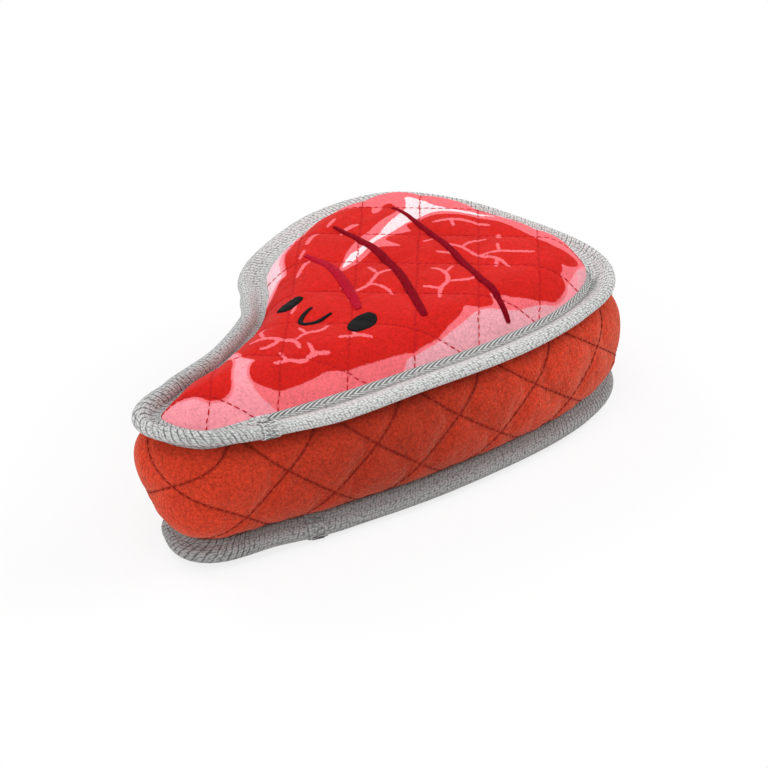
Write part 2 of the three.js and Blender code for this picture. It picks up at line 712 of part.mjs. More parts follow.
// Fibre inside the backings, in two handfuls with the squeaker laid between them
function fibreFill(isUpper) {
  const room = BACKING_LOOSENESS + BACKING_THICKNESS + BACKING_LOOSENESS;
  const middle = bulgeAt(LINING_SHARE) - QUILT_THICKNESS - room;
  const level = (share, offset, z = BOTTOM_SEAM + WALL_HEIGHT * share) =>
    every(BACKING_STATION_STEP, stations).map((station) => {
      const point = wallLine(station, share, offset);
      return new THREE.Vector3(point.x, point.y, z);
    });
  const loops = [
    level(BACKING_SHARE, -room, -TOP_REACH),
    level(BACKING_SHARE, -room),
    level(LINING_SHARE, middle),
    level(1 - LINING_SHARE, middle),
    level(1 - BACKING_SHARE, -room),
    level(1 - BACKING_SHARE, -room, TOP_REACH + TOP_SEAM),
  ];
  const layers = CLEARANCE + BACKING_THICKNESS + CLEARANCE;
  const ceiling = solidUnder((x, y) => topInner(x, y) - layers, LINING_STEPS);
  const floor = solidUnder((x, y) => bottomInner(x, y) + layers, LINING_STEPS);
  const [low, high] = isUpper
    ? [squeakerZ + CLEARANCE / 2, TOP_REACH + TOP_SEAM]
    : [-TOP_REACH, squeakerZ - CLEARANCE / 2];
  const body = toManifold(loftGeometry(loops)).intersect(ceiling).subtract(floor);
  return fromManifold(body.intersect(slab(low, high)).subtract(squeakerPocket()));
}

// Space that the squeaker takes in the fibre, with clearance all round
function squeakerPocket() {
  const flangeTop = neckTop + CLEARANCE + PLUG_FLANGE_THICKNESS + CLEARANCE;
  const widest = BELLOWS_RADIUS + CLEARANCE;
  const bottom = -bellowsTop - CLEARANCE;
  const pocket = turned([
    [0, bottom],
    [BELLOWS_SHOULDER_RADIUS + CLEARANCE, bottom],
    [widest, -BELLOWS_PLEAT - CLEARANCE],
    [widest, BELLOWS_PLEAT + CLEARANCE],
    [BELLOWS_SHOULDER_RADIUS + CLEARANCE, bellowsTop + CLEARANCE],
    [PLUG_FLANGE_RADIUS + CLEARANCE, bellowsTop + CLEARANCE],
    [PLUG_FLANGE_RADIUS + CLEARANCE, flangeTop],
    [0, flangeTop],
  ]);
  return toManifold(pocket.translate(squeakerX, squeakerY, squeakerZ));
}

// Materials, with the colours of the toy
const plain = (color, roughness) => new THREE.MeshStandardMaterial({ color, roughness, metalness: 0 });
const materials = {
  printedPlush: plain(0xdd3a32, 0.9),
  rustPlush: plain(0xaa3320, 0.95),
  backing: plain(0xd9d4cb, 0.95),
  webbing: plain(0xb4a9aa, 0.85),
  blackThread: plain(0x29262a, 0.6),
  maroonThread: plain(0xa0182a, 0.6),
  fibre: plain(0xf1efe9, 1),
  softPlastic: plain(0xf2f0e6, 0.4),
  reedPlastic: plain(0xffffff, 0.35),
  reedFilm: plain(0xd8dfe0, 0.25),
};

const toy = new THREE.Group();

function addPiece(name, geometry, material, parent = toy) {
  const mesh = new THREE.Mesh(cleanMesh(geometry), material);
  mesh.name = name;
  parent.add(mesh);
  return mesh;
}

addPiece('top_panel', topPanel(), materials.printedPlush);
addPiece('top_backing', panelBacking(topInner, topLoop, -1), materials.backing);
addPiece('side_band', sideBand(), materials.rustPlush);
addPiece('side_backing', sideBacking(), materials.backing);
addPiece('bottom_panel', bottomPanel(), materials.rustPlush);
addPiece('bottom_backing', panelBacking(bottomInner, bottomLoop, 1), materials.backing);
addPiece('top_binding', bindingTape(true), materials.webbing);
addPiece('bottom_binding', bindingTape(false), materials.webbing);
addPiece('fibre_fill_lower', fibreFill(false), materials.fibre);
addPiece('fibre_fill_upper', fibreFill(true), materials.fibre);

const rightEyeTurn = THREE.MathUtils.degToRad(RIGHT_EYE_TURN_DEGREES);
const rightEye = eyeOutline(RIGHT_EYE_SHARES, RIGHT_EYE_LENGTH, RIGHT_EYE_WIDTH, rightEyeTurn);
const leftEyeTurn = THREE.MathUtils.degToRad(LEFT_EYE_TURN_DEGREES);
const leftEye = eyeOutline(LEFT_EYE_SHARES, LEFT_EYE_LENGTH, LEFT_EYE_WIDTH, leftEyeTurn);
addPiece('right_eye', stitchedPad(rightEye), materials.blackThread);
addPiece('left_eye', stitchedPad(leftEye), materials.blackThread);
addPiece('smile', stitchedPad(strokeOutline(SMILE_SHARES, SMILE_WIDTH)), materials.blackThread);
Object.entries(SEAR_MARK_SHARES).forEach(([name, shares]) => {
  addPiece(name, stitchedPad(strokeOutline(shares, SEAR_WIDTH)), materials.maroonThread);
});

const squeaker = new THREE.Group();
squeaker.position.set(squeakerX, squeakerY, squeakerZ);
toy.add(squeaker);
addPiece('squeaker_bellows', squeakerBellows(), materials.softPlastic, squeaker);
addPiece('reed_plug', reedPlug(), materials.reedPlastic, squeaker);
addPiece('reed_bed', reedBed(), materials.reedPlastic, squeaker);
const tongue = addPiece('reed_tongue', reedTongue(), materials.reedFilm, squeaker);
tongue.position.set(0, CLEARANCE, plugBottom);
tongue.rotation.x = THREE.MathUtils.degToRad(REED_OPENING_DEGREES);

// The toy stands centred over its origin, with the ground at zero
const reach = new THREE.Box3().setFromObject(toy);
const middle = reach.getCenter(new THREE.Vector3());
toy.position.set(-middle.x, -middle.y, 0);

export default toy;
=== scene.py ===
import json
import math

import bmesh
import bpy
import numpy as np
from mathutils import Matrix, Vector, geometry, noise
from mathutils.bvhtree import BVHTree


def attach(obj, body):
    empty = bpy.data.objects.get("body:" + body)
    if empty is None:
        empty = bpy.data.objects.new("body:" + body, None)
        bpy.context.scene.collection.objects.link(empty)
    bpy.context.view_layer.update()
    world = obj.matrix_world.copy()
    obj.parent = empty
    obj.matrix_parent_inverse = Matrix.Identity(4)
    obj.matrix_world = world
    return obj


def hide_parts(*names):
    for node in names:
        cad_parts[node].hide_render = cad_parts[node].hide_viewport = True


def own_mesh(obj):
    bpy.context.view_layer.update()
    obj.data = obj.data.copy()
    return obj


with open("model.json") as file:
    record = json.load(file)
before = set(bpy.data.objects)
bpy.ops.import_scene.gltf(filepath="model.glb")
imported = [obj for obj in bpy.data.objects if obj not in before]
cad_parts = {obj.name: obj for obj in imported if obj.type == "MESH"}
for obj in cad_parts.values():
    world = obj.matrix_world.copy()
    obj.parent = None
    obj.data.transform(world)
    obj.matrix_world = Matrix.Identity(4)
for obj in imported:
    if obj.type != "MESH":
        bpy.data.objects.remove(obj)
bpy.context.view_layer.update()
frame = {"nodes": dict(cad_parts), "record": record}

scene = bpy.context.scene
scene.view_settings.view_transform = "Standard"

# The photographer's camera: it looks down on the toy from in front of the tail, with the whole
# toy in a square frame. Lengths in this file are millimetres in the plan that the panels were
# cut to, whose middle is where the record has the toy's underside.
PLAN_ORIGIN = np.array(frame["record"]["mounts"][0]["pos_m"]) * 1000
CAMERA_AZIMUTH = -43
CAMERA_ELEVATION = 32
CAMERA_DISTANCE = 750
CAMERA_TARGET = np.array([0.0, 0.0, 30.0])
CAMERA_LENS = 92.81
CAMERA_SENSOR = 36
CAMERA_NEAREST = 0.01
CAMERA_FURTHEST = 20


def in_metres(points):
    """Plan millimetres as metres of the shared frame."""
    return (np.asarray(points, float) + PLAN_ORIGIN) / 1000


def seen_from(azimuth, elevation):
    """Direction from the toy to a camera or lamp, at angles in degrees round from its front."""
    a = math.radians(azimuth)
    e = math.radians(elevation)
    return Vector((math.sin(a) * math.cos(e), -math.cos(a) * math.cos(e), math.sin(e)))


camera = bpy.data.objects.new("camera", bpy.data.cameras.new("camera"))
scene.collection.objects.link(camera)
camera_back = seen_from(CAMERA_AZIMUTH, CAMERA_ELEVATION)
camera.location = Vector(in_metres(CAMERA_TARGET)) + camera_back * CAMERA_DISTANCE / 1000
camera.rotation_euler = camera_back.to_track_quat("Z", "Y").to_euler()
camera.data.lens = CAMERA_LENS
camera.data.sensor_width = CAMERA_SENSOR
camera.data.clip_start = CAMERA_NEAREST
camera.data.clip_end = CAMERA_FURTHEST
scene.camera = camera

# The studio: a pale table under soft lamps, the larger one to the right of the camera. The table
# keeps the toy's shadow near the toy and is plain white to the camera further off.
TABLE_RADIUS = 3000
TABLE_SIDES = 64
SHADOW_START = 105
SHADOW_END = 190
TABLE_COLOUR = 0.92
SKY_STRENGTH = 0.33
SHADOW_SOFTENING = 0.8


def add_node(tree, kind, inputs=None, **settings):
    """Adds a node, sets its fields, and links or sets its inputs, which are named or numbered."""
    made = tree.nodes.new(kind)
    for name, value in settings.items():
        setattr(made, name, value)
    for name, value in (inputs or {}).items():
        if isinstance(value, bpy.types.NodeSocket):
            tree.links.new(value, made.inputs[name])
        else:
            made.inputs[name].default_value = value
    return made


def blank_material(name):
    """A material with its node tree emptied, and its output node."""
    material = bpy.data.materials.new(name)
    material.use_nodes = True
    material.node_tree.nodes.clear()
    return material, add_node(material.node_tree, "ShaderNodeOutputMaterial")


def math_node(tree, operation, *values):
    """One sum of sockets or plain numbers."""
    return add_node(tree, "ShaderNodeMath", dict(enumerate(values)), operation=operation).outputs[0]


def ranged(tree, value, low, high, to_low=0.0, to_high=1.0, kind="LINEAR"):
    """A value carried from one range to another and kept within it."""
    return add_node(tree, "ShaderNodeMapRange", {"Value": value, "From Min": low, "From Max": high,
                    "To Min": to_low, "To Max": to_high}, interpolation_type=kind).outputs[0]


def object_place(tree):
    """Where a point lies on its piece."""
    return add_node(tree, "ShaderNodeTexCoord").outputs["Object"]


def seen_directly(tree):
    """Whether a ray comes from the camera, a mirror image or through glass."""
    path = add_node(tree, "ShaderNodeLightPath").outputs
    either = math_node(tree, "MAXIMUM", path["Is Camera Ray"], path["Is Glossy Ray"])
    return math_node(tree, "MAXIMUM", either, path["Is Transmission Ray"])


table_material, table_output = blank_material("pale table")
tree = table_material.node_tree
away = add_node(tree, "ShaderNodeVectorMath", {0: object_place(tree)}, operation="LENGTH").outputs["Value"]
beyond = ranged(tree, away, SHADOW_START / 1000, SHADOW_END / 1000, kind="SMOOTHSTEP")
whitened = math_node(tree, "MAXIMUM", beyond, SHADOW_SOFTENING)
white_share = math_node(tree, "MULTIPLY", seen_directly(tree), whitened)
matt = add_node(tree, "ShaderNodeBsdfDiffuse", {"Color": (TABLE_COLOUR,) * 3 + (1,)})
white = add_node(tree, "ShaderNodeEmission", {"Color": (1, 1, 1, 1), "Strength": 1.0})
mixed = add_node(tree, "ShaderNodeMixShader", {0: white_share, 1: matt.outputs[0], 2: white.outputs[0]})
tree.links.new(mixed.outputs[0], table_output.inputs["Surface"])

table_mesh = bpy.data.meshes.new("table")
table_edge = [(TABLE_RADIUS * math.cos(a) / 1000, TABLE_RADIUS * math.sin(a) / 1000, 0)
              for a in np.linspace(0, 2 * math.pi, TABLE_SIDES, endpoint=False)]
table_mesh.from_pydata(table_edge, [], [list(range(TABLE_SIDES))])
table_mesh.materials.append(table_material)
table = bpy.data.objects.new("table", table_mesh)
scene.collection.objects.link(table)

world = bpy.data.worlds.new("studio")
world.use_nodes = True
scene.world = world
tree = world.node_tree
tree.nodes.clear()
plain_sky = add_node(tree, "ShaderNodeBackground", {"Color": (1, 1, 1, 1), "Strength": SKY_STRENGTH})
white_sky = add_node(tree, "ShaderNodeBackground", {"Color": (1, 1, 1, 1), "Strength": 1.0})
mixed = add_node(tree, "ShaderNodeMixShader",
                 {0: seen_directly(tree), 1: plain_sky.outputs[0], 2: white_sky.outputs[0]})
add_node(tree, "ShaderNodeOutputWorld", {"Surface": mixed.outputs[0]})

# Each lamp: its azimuth and elevation in degrees, its distance and size in metres, and its watts
for name, azimuth, elevation, distance, size, watts in [
    ("key lamp", 66, 36, 1.6, 1.0, 11.5),
    ("top lamp", -35, 76, 1.7, 1.4, 9),
    ("left lamp", -84, 24, 1.7, 1.2, 9),
    ("back lamp", -170, 42, 1.8, 1.2, 10),
]:
    light = bpy.data.lights.new(name, "AREA")
    light.shape = "DISK"
    light.size = size
    light.energy = watts
    lamp = bpy.data.objects.new(name, light)
    lamp_side = seen_from(azimuth, elevation)
    lamp.location = lamp_side * distance
    lamp.rotation_euler = lamp_side.to_track_quat("Z", "Y").to_euler()
    scene.collection.objects.link(lamp)

# Top panel: short plush printed like a cut of meat, quilted over wadding in squares that run at
# 45 degrees to the toy. It is cut to the seam's outline, and its allowance turns out into the
# binding. The wadding blows each square out between the stitches.
SEAM_LENGTH = 197
SEAM_WIDTH = 120
WALL_HEIGHT = 39.5
WALL_BULGE = 9.5
WALL_SQUARENESS = 3.5
BOTTOM_SEAM = 8.5
TOP_SEAM = BOTTOM_SEAM + WALL_HEIGHT
UNDERSIDE_REACH = 16
UNDERSIDE_SAG = 6.8
CROWN_HEIGHT = 15
CROWN_REACH = 19
QUILT_PITCH = 23.4
QUILT_STEPS = 18
TOP_PUFF = 1.6
PUFF_START = 2.5
PUFF_FULL = 9
PUFF_FULLNESS = 0.6
PUFF_PRESSURE = 6.0
PUFF_GROWTH = 0.05
PUFF_HEAD_START = 0.4
TOP_PUFF_LIMIT = 0.75
LINING_STEPS = 6
QUILT_THICKNESS = 3.2
THICKENING_REACH = 16
ALLOWANCE_LENGTH = 6.5
ALLOWANCE_THICKNESS = 1.2
ALLOWANCE_CUT = 0.97
CLEARANCE = 0.3
RAY_RUN = 5
WALL_DIAMONDS = 15
DIAMOND_ROWS = 6
STATION_STEPS = 5
STATIONS = WALL_DIAMONDS * DIAMOND_ROWS * STATION_STEPS
CURVE_STEPS = 3600
CLOTH_SCALE = 100
CLOTH_FRAMES = 16
CLOTH_PERCENTILE = 99
EDGE_GAP = 0.55
JOIN_TOLERANCE = 1e-4
FAR_OFF = 9.0
POINTS_AT_ONCE = 3000
VEIN_END = 0.35

# Outline from the tip of the tail, counter-clockwise: x and y of the top seam as shares of its
# length and width, how far the bottom seam is shifted, and the lean of the two bindings
OUTLINE = np.array([
    [-0.498, 0.098, 0.031, -0.038, 52, 51],
    [-0.469, -0.053, -0.002, -0.008, 40, 59],
    [-0.364, -0.113, -0.006, -0.010, 63, 63],
    [-0.219, -0.173, -0.009, -0.027, 78, 49],
    [-0.047, -0.227, -0.006, -0.037, 71, 54],
    [0.152, -0.277, 0.008, -0.027, 69, 55],
    [0.330, -0.275, 0.014, -0.020, 61, 56],
    [0.457, -0.192, 0.006, -0.027, 74, 52],
    [0.514, -0.045, 0.013, -0.004, 84, 49],
    [0.499, 0.224, 0.012, 0, 72, 49],
    [0.464, 0.480, 0.003, 0, 72, 49],
    [0.392, 0.653, 0, 0, 73, 49],
    [0.249, 0.707, 0.002, -0.003, 75, 49],
    [0.101, 0.659, 0.005, -0.006, 81, 49],
    [-0.016, 0.558, 0.005, -0.010, 75, 49],
    [-0.080, 0.431, 0.002, -0.002, 59, 49],
    [-0.167, 0.306, 0.002, -0.001, 25, 49],
    [-0.304, 0.211, 0.010, -0.021, 8, 49],
    [-0.431, 0.160, 0.020, -0.046, 11, 49],
])


def seam_curve(shares):
    """Points of the top seam's smooth closed curve, centripetal through the outline's corners."""
    corners = OUTLINE[:, :2] * [SEAM_LENGTH, SEAM_WIDTH]
    places = np.asarray(shares) * len(corners)
    first = np.floor(places).astype(int)
    run = (places - first)[:, None]
    p0, p1, p2, p3 = (corners[(first + k) % len(corners)] for k in (-1, 0, 1, 2))
    d0, d1, d2 = (np.sqrt(np.linalg.norm(b - a, axis=1))[:, None]
                  for a, b in ((p0, p1), (p1, p2), (p2, p3)))
    t1 = ((p1 - p0) / d0 - (p2 - p0) / (d0 + d1) + (p2 - p1) / d1) * d1
    t2 = ((p2 - p1) / d1 - (p3 - p1) / (d1 + d2) + (p3 - p2) / d2) * d1
    cubic = (3 * (p2 - p1) - 2 * t1 - t2) * run ** 2 + (2 * (p1 - p2) + t1 + t2) * run ** 3
    return p1 + t1 * run + cubic


def outwards(loop):
    """Outward direction in plan at each point of a counter-clockwise loop."""
    chord = np.roll(loop, -1, 0) - np.roll(loop, 1, 0)
    return unit(np.stack([chord[:, 1], -chord[:, 0]], 1))


def unit(vectors):
    """Vectors brought to a length of one."""
    return vectors / np.linalg.norm(vectors, axis=-1, keepdims=True)


def smooth_share(values, low, high):
    """Smooth step from 0 at low to 1 at high."""
    share = np.clip((np.asarray(values, float) - low) / (high - low), 0, 1)
    return share * share * (3 - 2 * share)


shares = np.linspace(0, 1, CURVE_STEPS + 1)
run = np.linalg.norm(np.diff(seam_curve(shares), axis=0), axis=1)
run = np.concatenate([[0], np.cumsum(run)])
perimeter = run[-1]
shares = np.interp(np.arange(STATIONS) / STATIONS * perimeter, run, shares)
place = shares * len(OUTLINE)
row = np.floor(place).astype(int)
blend = smooth_share(place - row, 0, 1)[:, None]
settings = OUTLINE[row] * (1 - blend) + OUTLINE[(row + 1) % len(OUTLINE)] * blend
top_loop = seam_curve(shares)
bottom_loop = top_loop + settings[:, 2:4] * [SEAM_LENGTH, SEAM_WIDTH]
top_out = outwards(top_loop)
bottom_out = outwards(bottom_loop)
wall_out = unit(top_out + bottom_out)
TAPE_LENGTH = 9.5
TAPE_ROLL = 5.2
tape_corner = math.hypot(TAPE_LENGTH, TAPE_ROLL / 2)
ground_lean = math.acos((BOTTOM_SEAM - CLEARANCE) / tape_corner) + math.atan(TAPE_ROLL / 2 / TAPE_LENGTH)
top_lean = np.radians(settings[:, 4])
bottom_lean = np.maximum(np.radians(settings[:, 5]), ground_lean)


def edge_depth(points, loop):
    """Distance in plan from each point to a closed loop, negative outside it."""
    ends = np.roll(loop, -1, 0)
    side = ends - loop
    found = []
    for part in np.array_split(np.asarray(points, float)[:, :2], max(len(points) // POINTS_AT_ONCE, 1)):
        p = part[:, None]
        along = np.clip(((p - loop) * side).sum(2) / (side * side).sum(1), 0, 1)
        near = np.linalg.norm(loop + along[..., None] * side - p, axis=2).min(1)
        spans = (loop[:, 1] > p[..., 1]) != (ends[:, 1] > p[..., 1])
        rise = np.where(side[:, 1] == 0, 1, side[:, 1])
        crossing = loop[:, 0] + (p[..., 1] - loop[:, 1]) * side[:, 0] / rise
        inside = (spans & (p[..., 0] < crossing)).sum(1) % 2 == 1
        found.append(np.where(inside, near, -near))
    return np.concatenate(found)


def swell(depth, reach):
    """Share of a crown's height: a parabola that levels out at its reach from the seam."""
    return 1 - (1 - np.clip(depth / reach, 0, 1)) ** 2


def pillow(points, depth):
    """Share of a puff's height over the quilted squares."""
    turned = math.pi / math.sqrt(2) / QUILT_PITCH
    rise = np.abs(np.cos(turned * (points[:, 0] + points[:, 1])))
    fall = np.abs(np.cos(turned * (points[:, 0] - points[:, 1])))
    return (rise * fall) ** PUFF_FULLNESS * smooth_share(depth, PUFF_START, PUFF_FULL)


def thickness(depth):
    """A quilted layer is as thin as its allowance at the seam and full of wadding further in."""
    return ALLOWANCE_THICKNESS + (QUILT_THICKNESS - ALLOWANCE_THICKNESS) * swell(depth, THICKENING_REACH)


def cross(a, b):
    """How far one direction in a plane is turned from another, as an area."""
    return a[..., 0] * b[..., 1] - a[..., 1] * b[..., 0]


def bulge_at(share):
    """How far the wall stands out at a share of its height."""
    return WALL_BULGE * (1 - np.abs(2 * np.asarray(share) - 1) ** WALL_SQUARENESS)


def wall_point(share, offset):
    """Points round the wall at a share of its height, an offset out of its bulged face."""
    share = np.broadcast_to(share, (STATIONS,))[:, None]
    offset = np.broadcast_to(offset, (STATIONS,))[:, None]
    plan = bottom_loop * (1 - share) + top_loop * share + wall_out * (bulge_at(share) + offset)
    return np.concatenate([plan, BOTTOM_SEAM + WALL_HEIGHT * share], 1)


class Seam:
    """One seam's section at every station: n runs outwards, h away from the wall, and the flange
    of allowances leans from h. The panel and the wall each leave the seam on a ray."""

    def __init__(self, is_top):
        self.is_top = is_top
        self.loop = top_loop if is_top else bottom_loop
        self.out = top_out if is_top else bottom_out
        self.lean = top_lean if is_top else bottom_lean
        rise = CROWN_HEIGHT * swell(RAY_RUN, CROWN_REACH) if is_top else (
            UNDERSIDE_SAG * swell(RAY_RUN, UNDERSIDE_REACH))
        row_share = 1 / DIAMOND_ROWS
        first_row = wall_point(1 - row_share if is_top else row_share, 0)[:, :2]
        wall_run = ((first_row - self.loop) * self.out).sum(1)
        self.flange = np.stack([np.sin(self.lean), np.cos(self.lean)], 1)
        self.across = np.stack([self.flange[:, 1], -self.flange[:, 0]], 1)
        self.panel_ray = np.broadcast_to(unit(np.array([-RAY_RUN, rise])), (STATIONS, 2))
        self.wall_ray = unit(np.stack([wall_run, np.full(STATIONS, -WALL_HEIGHT * row_share)], 1))

    def at(self, section):
        """Plan points of a section's (n, h)."""
        plan = self.loop + self.out * section[:, :1]
        height = TOP_SEAM + section[:, 1] if self.is_top else BOTTOM_SEAM - section[:, 1]
        return np.concatenate([plan, height[:, None]], 1)

    def turned_edge(self, ray, side):
        """Outer corner, both sides of the tip, and inner corner of a cloth layer that comes along
        a ray and turns out into the flange."""
        inwards = np.stack([ray[:, 1], -ray[:, 0]], 1) * side
        joint = self.across * side * CLEARANCE / 2
        outer = self.across * side * (CLEARANCE / 2 + ALLOWANCE_THICKNESS)
        back = inwards * ALLOWANCE_THICKNESS
        outer_along = cross(outer, self.flange) / cross(ray, self.flange)
        inner_along = cross(joint - back, self.flange) / cross(ray, self.flange)
        tip = self.flange * ALLOWANCE_LENGTH
        return [ray * outer_along[:, None], outer + tip * ALLOWANCE_CUT, joint + tip,
                back + ray * inner_along[:, None]]


top_seam = Seam(True)
bottom_seam = Seam(False)


def new_piece(name, points, faces, material):
    """An object at the origin with its place in its mesh."""
    mesh = bpy.data.meshes.new(name)
    mesh.from_pydata(in_metres(points).tolist(), [], [list(map(int, face)) for face in faces])
    mesh.materials.append(material)
    mesh.shade_smooth()
    piece = bpy.data.objects.new(name, mesh)
    scene.collection.objects.link(piece)
    return piece


def apply_modifiers(piece):
    """Turns what a piece's modifiers give into its plain mesh."""
    graph = bpy.context.evaluated_depsgraph_get()
    finished = bpy.data.meshes.new_from_object(
        piece.evaluated_get(graph), preserve_all_data_layers=True, depsgraph=graph)
    piece.modifiers.clear()
    piece.data = finished


def subdivide(piece, levels=1):
    """Smooths a piece by Catmull-Clark steps."""
    smoother = piece.modifiers.new("smoothing", "SUBSURF")
    smoother.levels = levels
    smoother.render_levels = levels
    apply_modifiers(piece)
    piece.data.shade_smooth()


def mesh_points(piece):
    """A piece's corners in plan millimetres."""
    flat = np.empty(len(piece.data.vertices) * 3)
    piece.data.vertices.foreach_get("co", flat)
    return flat.reshape(-1, 3) * 1000 - PLAN_ORIGIN


def add_values(piece, name, values):
    """Stores one number for each corner, which a material reads by its name."""
    stored = piece.data.attributes.new(name, "FLOAT", "POINT")
    stored.data.foreach_set("value", np.asarray(values, np.float32))


def blow_out(points, faces, held, limit):
    """Cloth that its stitches hold, a little larger than its place and pushed from behind as
    wadding pushes it. Gives the settled points, none further than the limit from its start."""
    mesh = bpy.data.meshes.new("cloth")
    mesh.from_pydata((points / CLOTH_SCALE).tolist(), [], [list(map(int, face)) for face in faces])
    sheet = bpy.data.objects.new("cloth", mesh)
    scene.collection.objects.link(sheet)
    stitched = sheet.vertex_groups.new(name="stitched")
    stitched.add([int(k) for k in held], 1.0, "REPLACE")
    cloth = sheet.modifiers.new("cloth", "CLOTH")
    cloth.settings.quality = 6
    cloth.settings.mass = 0.12
    cloth.settings.tension_stiffness = 12
    cloth.settings.compression_stiffness = 12
    cloth.settings.shear_stiffness = 4
    cloth.settings.bending_stiffness = 0.35
    cloth.settings.air_damping = 4
    cloth.settings.use_pressure = True
    cloth.settings.uniform_pressure_force = PUFF_PRESSURE
    cloth.settings.shrink_min = -PUFF_GROWTH
    cloth.settings.vertex_group_mass = "stitched"
    cloth.settings.effector_weights.gravity = 0
    cloth.collision_settings.use_collision = False
    cloth.collision_settings.use_self_collision = False
    cloth.point_cache.frame_start = 1
    cloth.point_cache.frame_end = CLOTH_FRAMES
    for step in range(1, CLOTH_FRAMES + 1):
        scene.frame_set(step)
    settled = sheet.evaluated_get(bpy.context.evaluated_depsgraph_get())
    flat = np.empty(len(points) * 3)
    settled.data.vertices.foreach_get("co", flat)
    moved = flat.reshape(-1, 3) * CLOTH_SCALE - points
    scene.frame_set(1)
    bpy.data.objects.remove(sheet)
    furthest = np.percentile(np.linalg.norm(moved, axis=1), CLOTH_PERCENTILE)
    moved *= min(1, limit / max(furthest, 1e-9))
    length = np.linalg.norm(moved, axis=1, keepdims=True)
    return points + moved * np.minimum(1, limit / np.maximum(length, 1e-9))


def quilted_grid(edge, steps):
    """Flat triangles inside an edge, on a grid along the stitch lines with so many steps to each
    square: the edge's points first, then the grid's. Also tells which points are on a line."""
    step = QUILT_PITCH / steps
    half = math.ceil(SEAM_LENGTH / step / 2)
    ticks = np.arange(-half, half + 1)
    rows, columns = np.meshgrid(ticks, ticks, indexing="ij")
    across = QUILT_PITCH / 2 + rows.ravel() * step
    along = QUILT_PITCH / 2 + columns.ravel() * step
    grid = np.stack([across + along, across - along], 1) * math.sqrt(0.5)
    on_line = (rows.ravel() % steps == 0) | (columns.ravel() % steps == 0)
    inside = edge_depth(grid, edge) > EDGE_GAP * step
    grid, on_line = grid[inside], on_line[inside]
    count = len(edge)
    corners = [Vector(p) for p in np.concatenate([edge, grid])]
    points, _, faces, origins, _, _ = geometry.delaunay_2d_cdt(
        corners, [], [list(range(count))], 1, JOIN_TOLERANCE)
    first = [origin[0] for origin in origins]
    order = np.argsort(first)
    rank = np.empty(len(order), int)
    rank[order] = np.arange(len(order))
    points = np.array([points[k] for k in order])
    held = np.concatenate([np.ones(count, bool), on_line])
    return points, [[rank[k] for k in face] for face in faces], held


def squared(points, faces):
    """Joins pairs of triangles into squares."""
    work = bmesh.new()
    corners = [work.verts.new(p) for p in points]
    work.verts.index_update()
    for face in faces:
        work.faces.new([corners[k] for k in face])
    bmesh.ops.join_triangles(work, faces=work.faces[:], angle_face_threshold=0.6,
                             angle_shape_threshold=0.6)
    joined = [[v.index for v in face.verts] for face in work.faces]
    work.free()
    return joined


def quilted_panel(name, seam, outer_height, inner_height, material, limit):
    """A panel's closed shell: the outer face, the allowance that turns out, and the inner face."""
    rings = [seam.at(section) for section in seam.turned_edge(seam.panel_ray, -1)]
    flat, faces, held = quilted_grid(rings[0][:, :2], QUILT_STEPS)
    points = np.concatenate([flat, outer_height(flat, edge_depth(flat, seam.loop))[:, None]], 1)
    points[:STATIONS] = rings[0]
    if not seam.is_top:
        faces = [face[::-1] for face in faces]
    faces = squared(points, faces)
    points = blow_out(points, faces, np.flatnonzero(held), limit)
    points[:, 2] = np.maximum(points[:, 2], 0)
    lining, lining_faces, _ = quilted_grid(rings[3][:, :2], LINING_STEPS)
    lining = np.concatenate([lining, inner_height(lining, edge_depth(lining, seam.loop))[:, None]], 1)
    lining[:STATIONS] = rings[3]
    if seam.is_top:
        lining_faces = [face[::-1] for face in lining_faces]
    starts = [0, len(points), len(points) + STATIONS, len(points) + 2 * STATIONS]
    for a, b in zip(starts, starts[1:]):
        for k in range(STATIONS):
            up = (k + 1) % STATIONS
            quad = [a + k, b + k, b + up, a + up]
            faces.append(quad if seam.is_top else quad[::-1])
    faces += [[starts[3] + k for k in face] for face in lining_faces]
    piece = new_piece(name, np.concatenate([points, rings[1], rings[2], lining]), faces, material)
    subdivide(piece)
    return piece


def top_height(flat, depth):
    """Height of the panel's outer face, with its puffs as far as they stand before the cloth swells."""
    puff = TOP_PUFF * pillow(flat, depth) * PUFF_HEAD_START
    return TOP_SEAM + CROWN_HEIGHT * swell(depth, CROWN_REACH) + puff


def top_lining(flat, depth):
    """Height of the panel's inner face."""
    return TOP_SEAM + CROWN_HEIGHT * swell(depth, CROWN_REACH) - thickness(depth)


def stitch_distance(points, loop):
    """Distance in plan to the nearest line of quilting, which stops short of the seam."""
    across = (points[:, 0] + points[:, 1]) * math.sqrt(0.5)
    along = (points[:, 0] - points[:, 1]) * math.sqrt(0.5)
    near = np.minimum(*(np.abs(value % QUILT_PITCH - QUILT_PITCH / 2) for value in (across, along)))
    return np.where(edge_depth(points, loop) > PUFF_START, near, FAR_OFF)


def stroke_depth(points, strokes):
    """How far inside the nearest printed stroke each point is. A stroke is a line of corners with
    its width at each."""
    best = np.full(len(points), -FAR_OFF)
    for line in strokes:
        line = np.array(line, float)
        for (ax, ay, aw), (bx, by, bw) in zip(line, line[1:]):
            side = np.array([bx - ax, by - ay])
            along = np.clip((points[:, :2] - [ax, ay]) @ side / (side @ side), 0, 1)
            near = np.linalg.norm(points[:, :2] - [ax, ay] - along[:, None] * side, axis=1)
            best = np.maximum(best, (aw + (bw - aw) * along) / 2 - near)
    return best


def rounded(corners):
    """A closed outline with its corners cut."""
    line = np.array(corners, float)
    ahead = np.roll(line, -1, 0)
    return np.stack([line * 0.75 + ahead * 0.25, line * 0.25 + ahead * 0.75], 1).reshape(-1, 2)


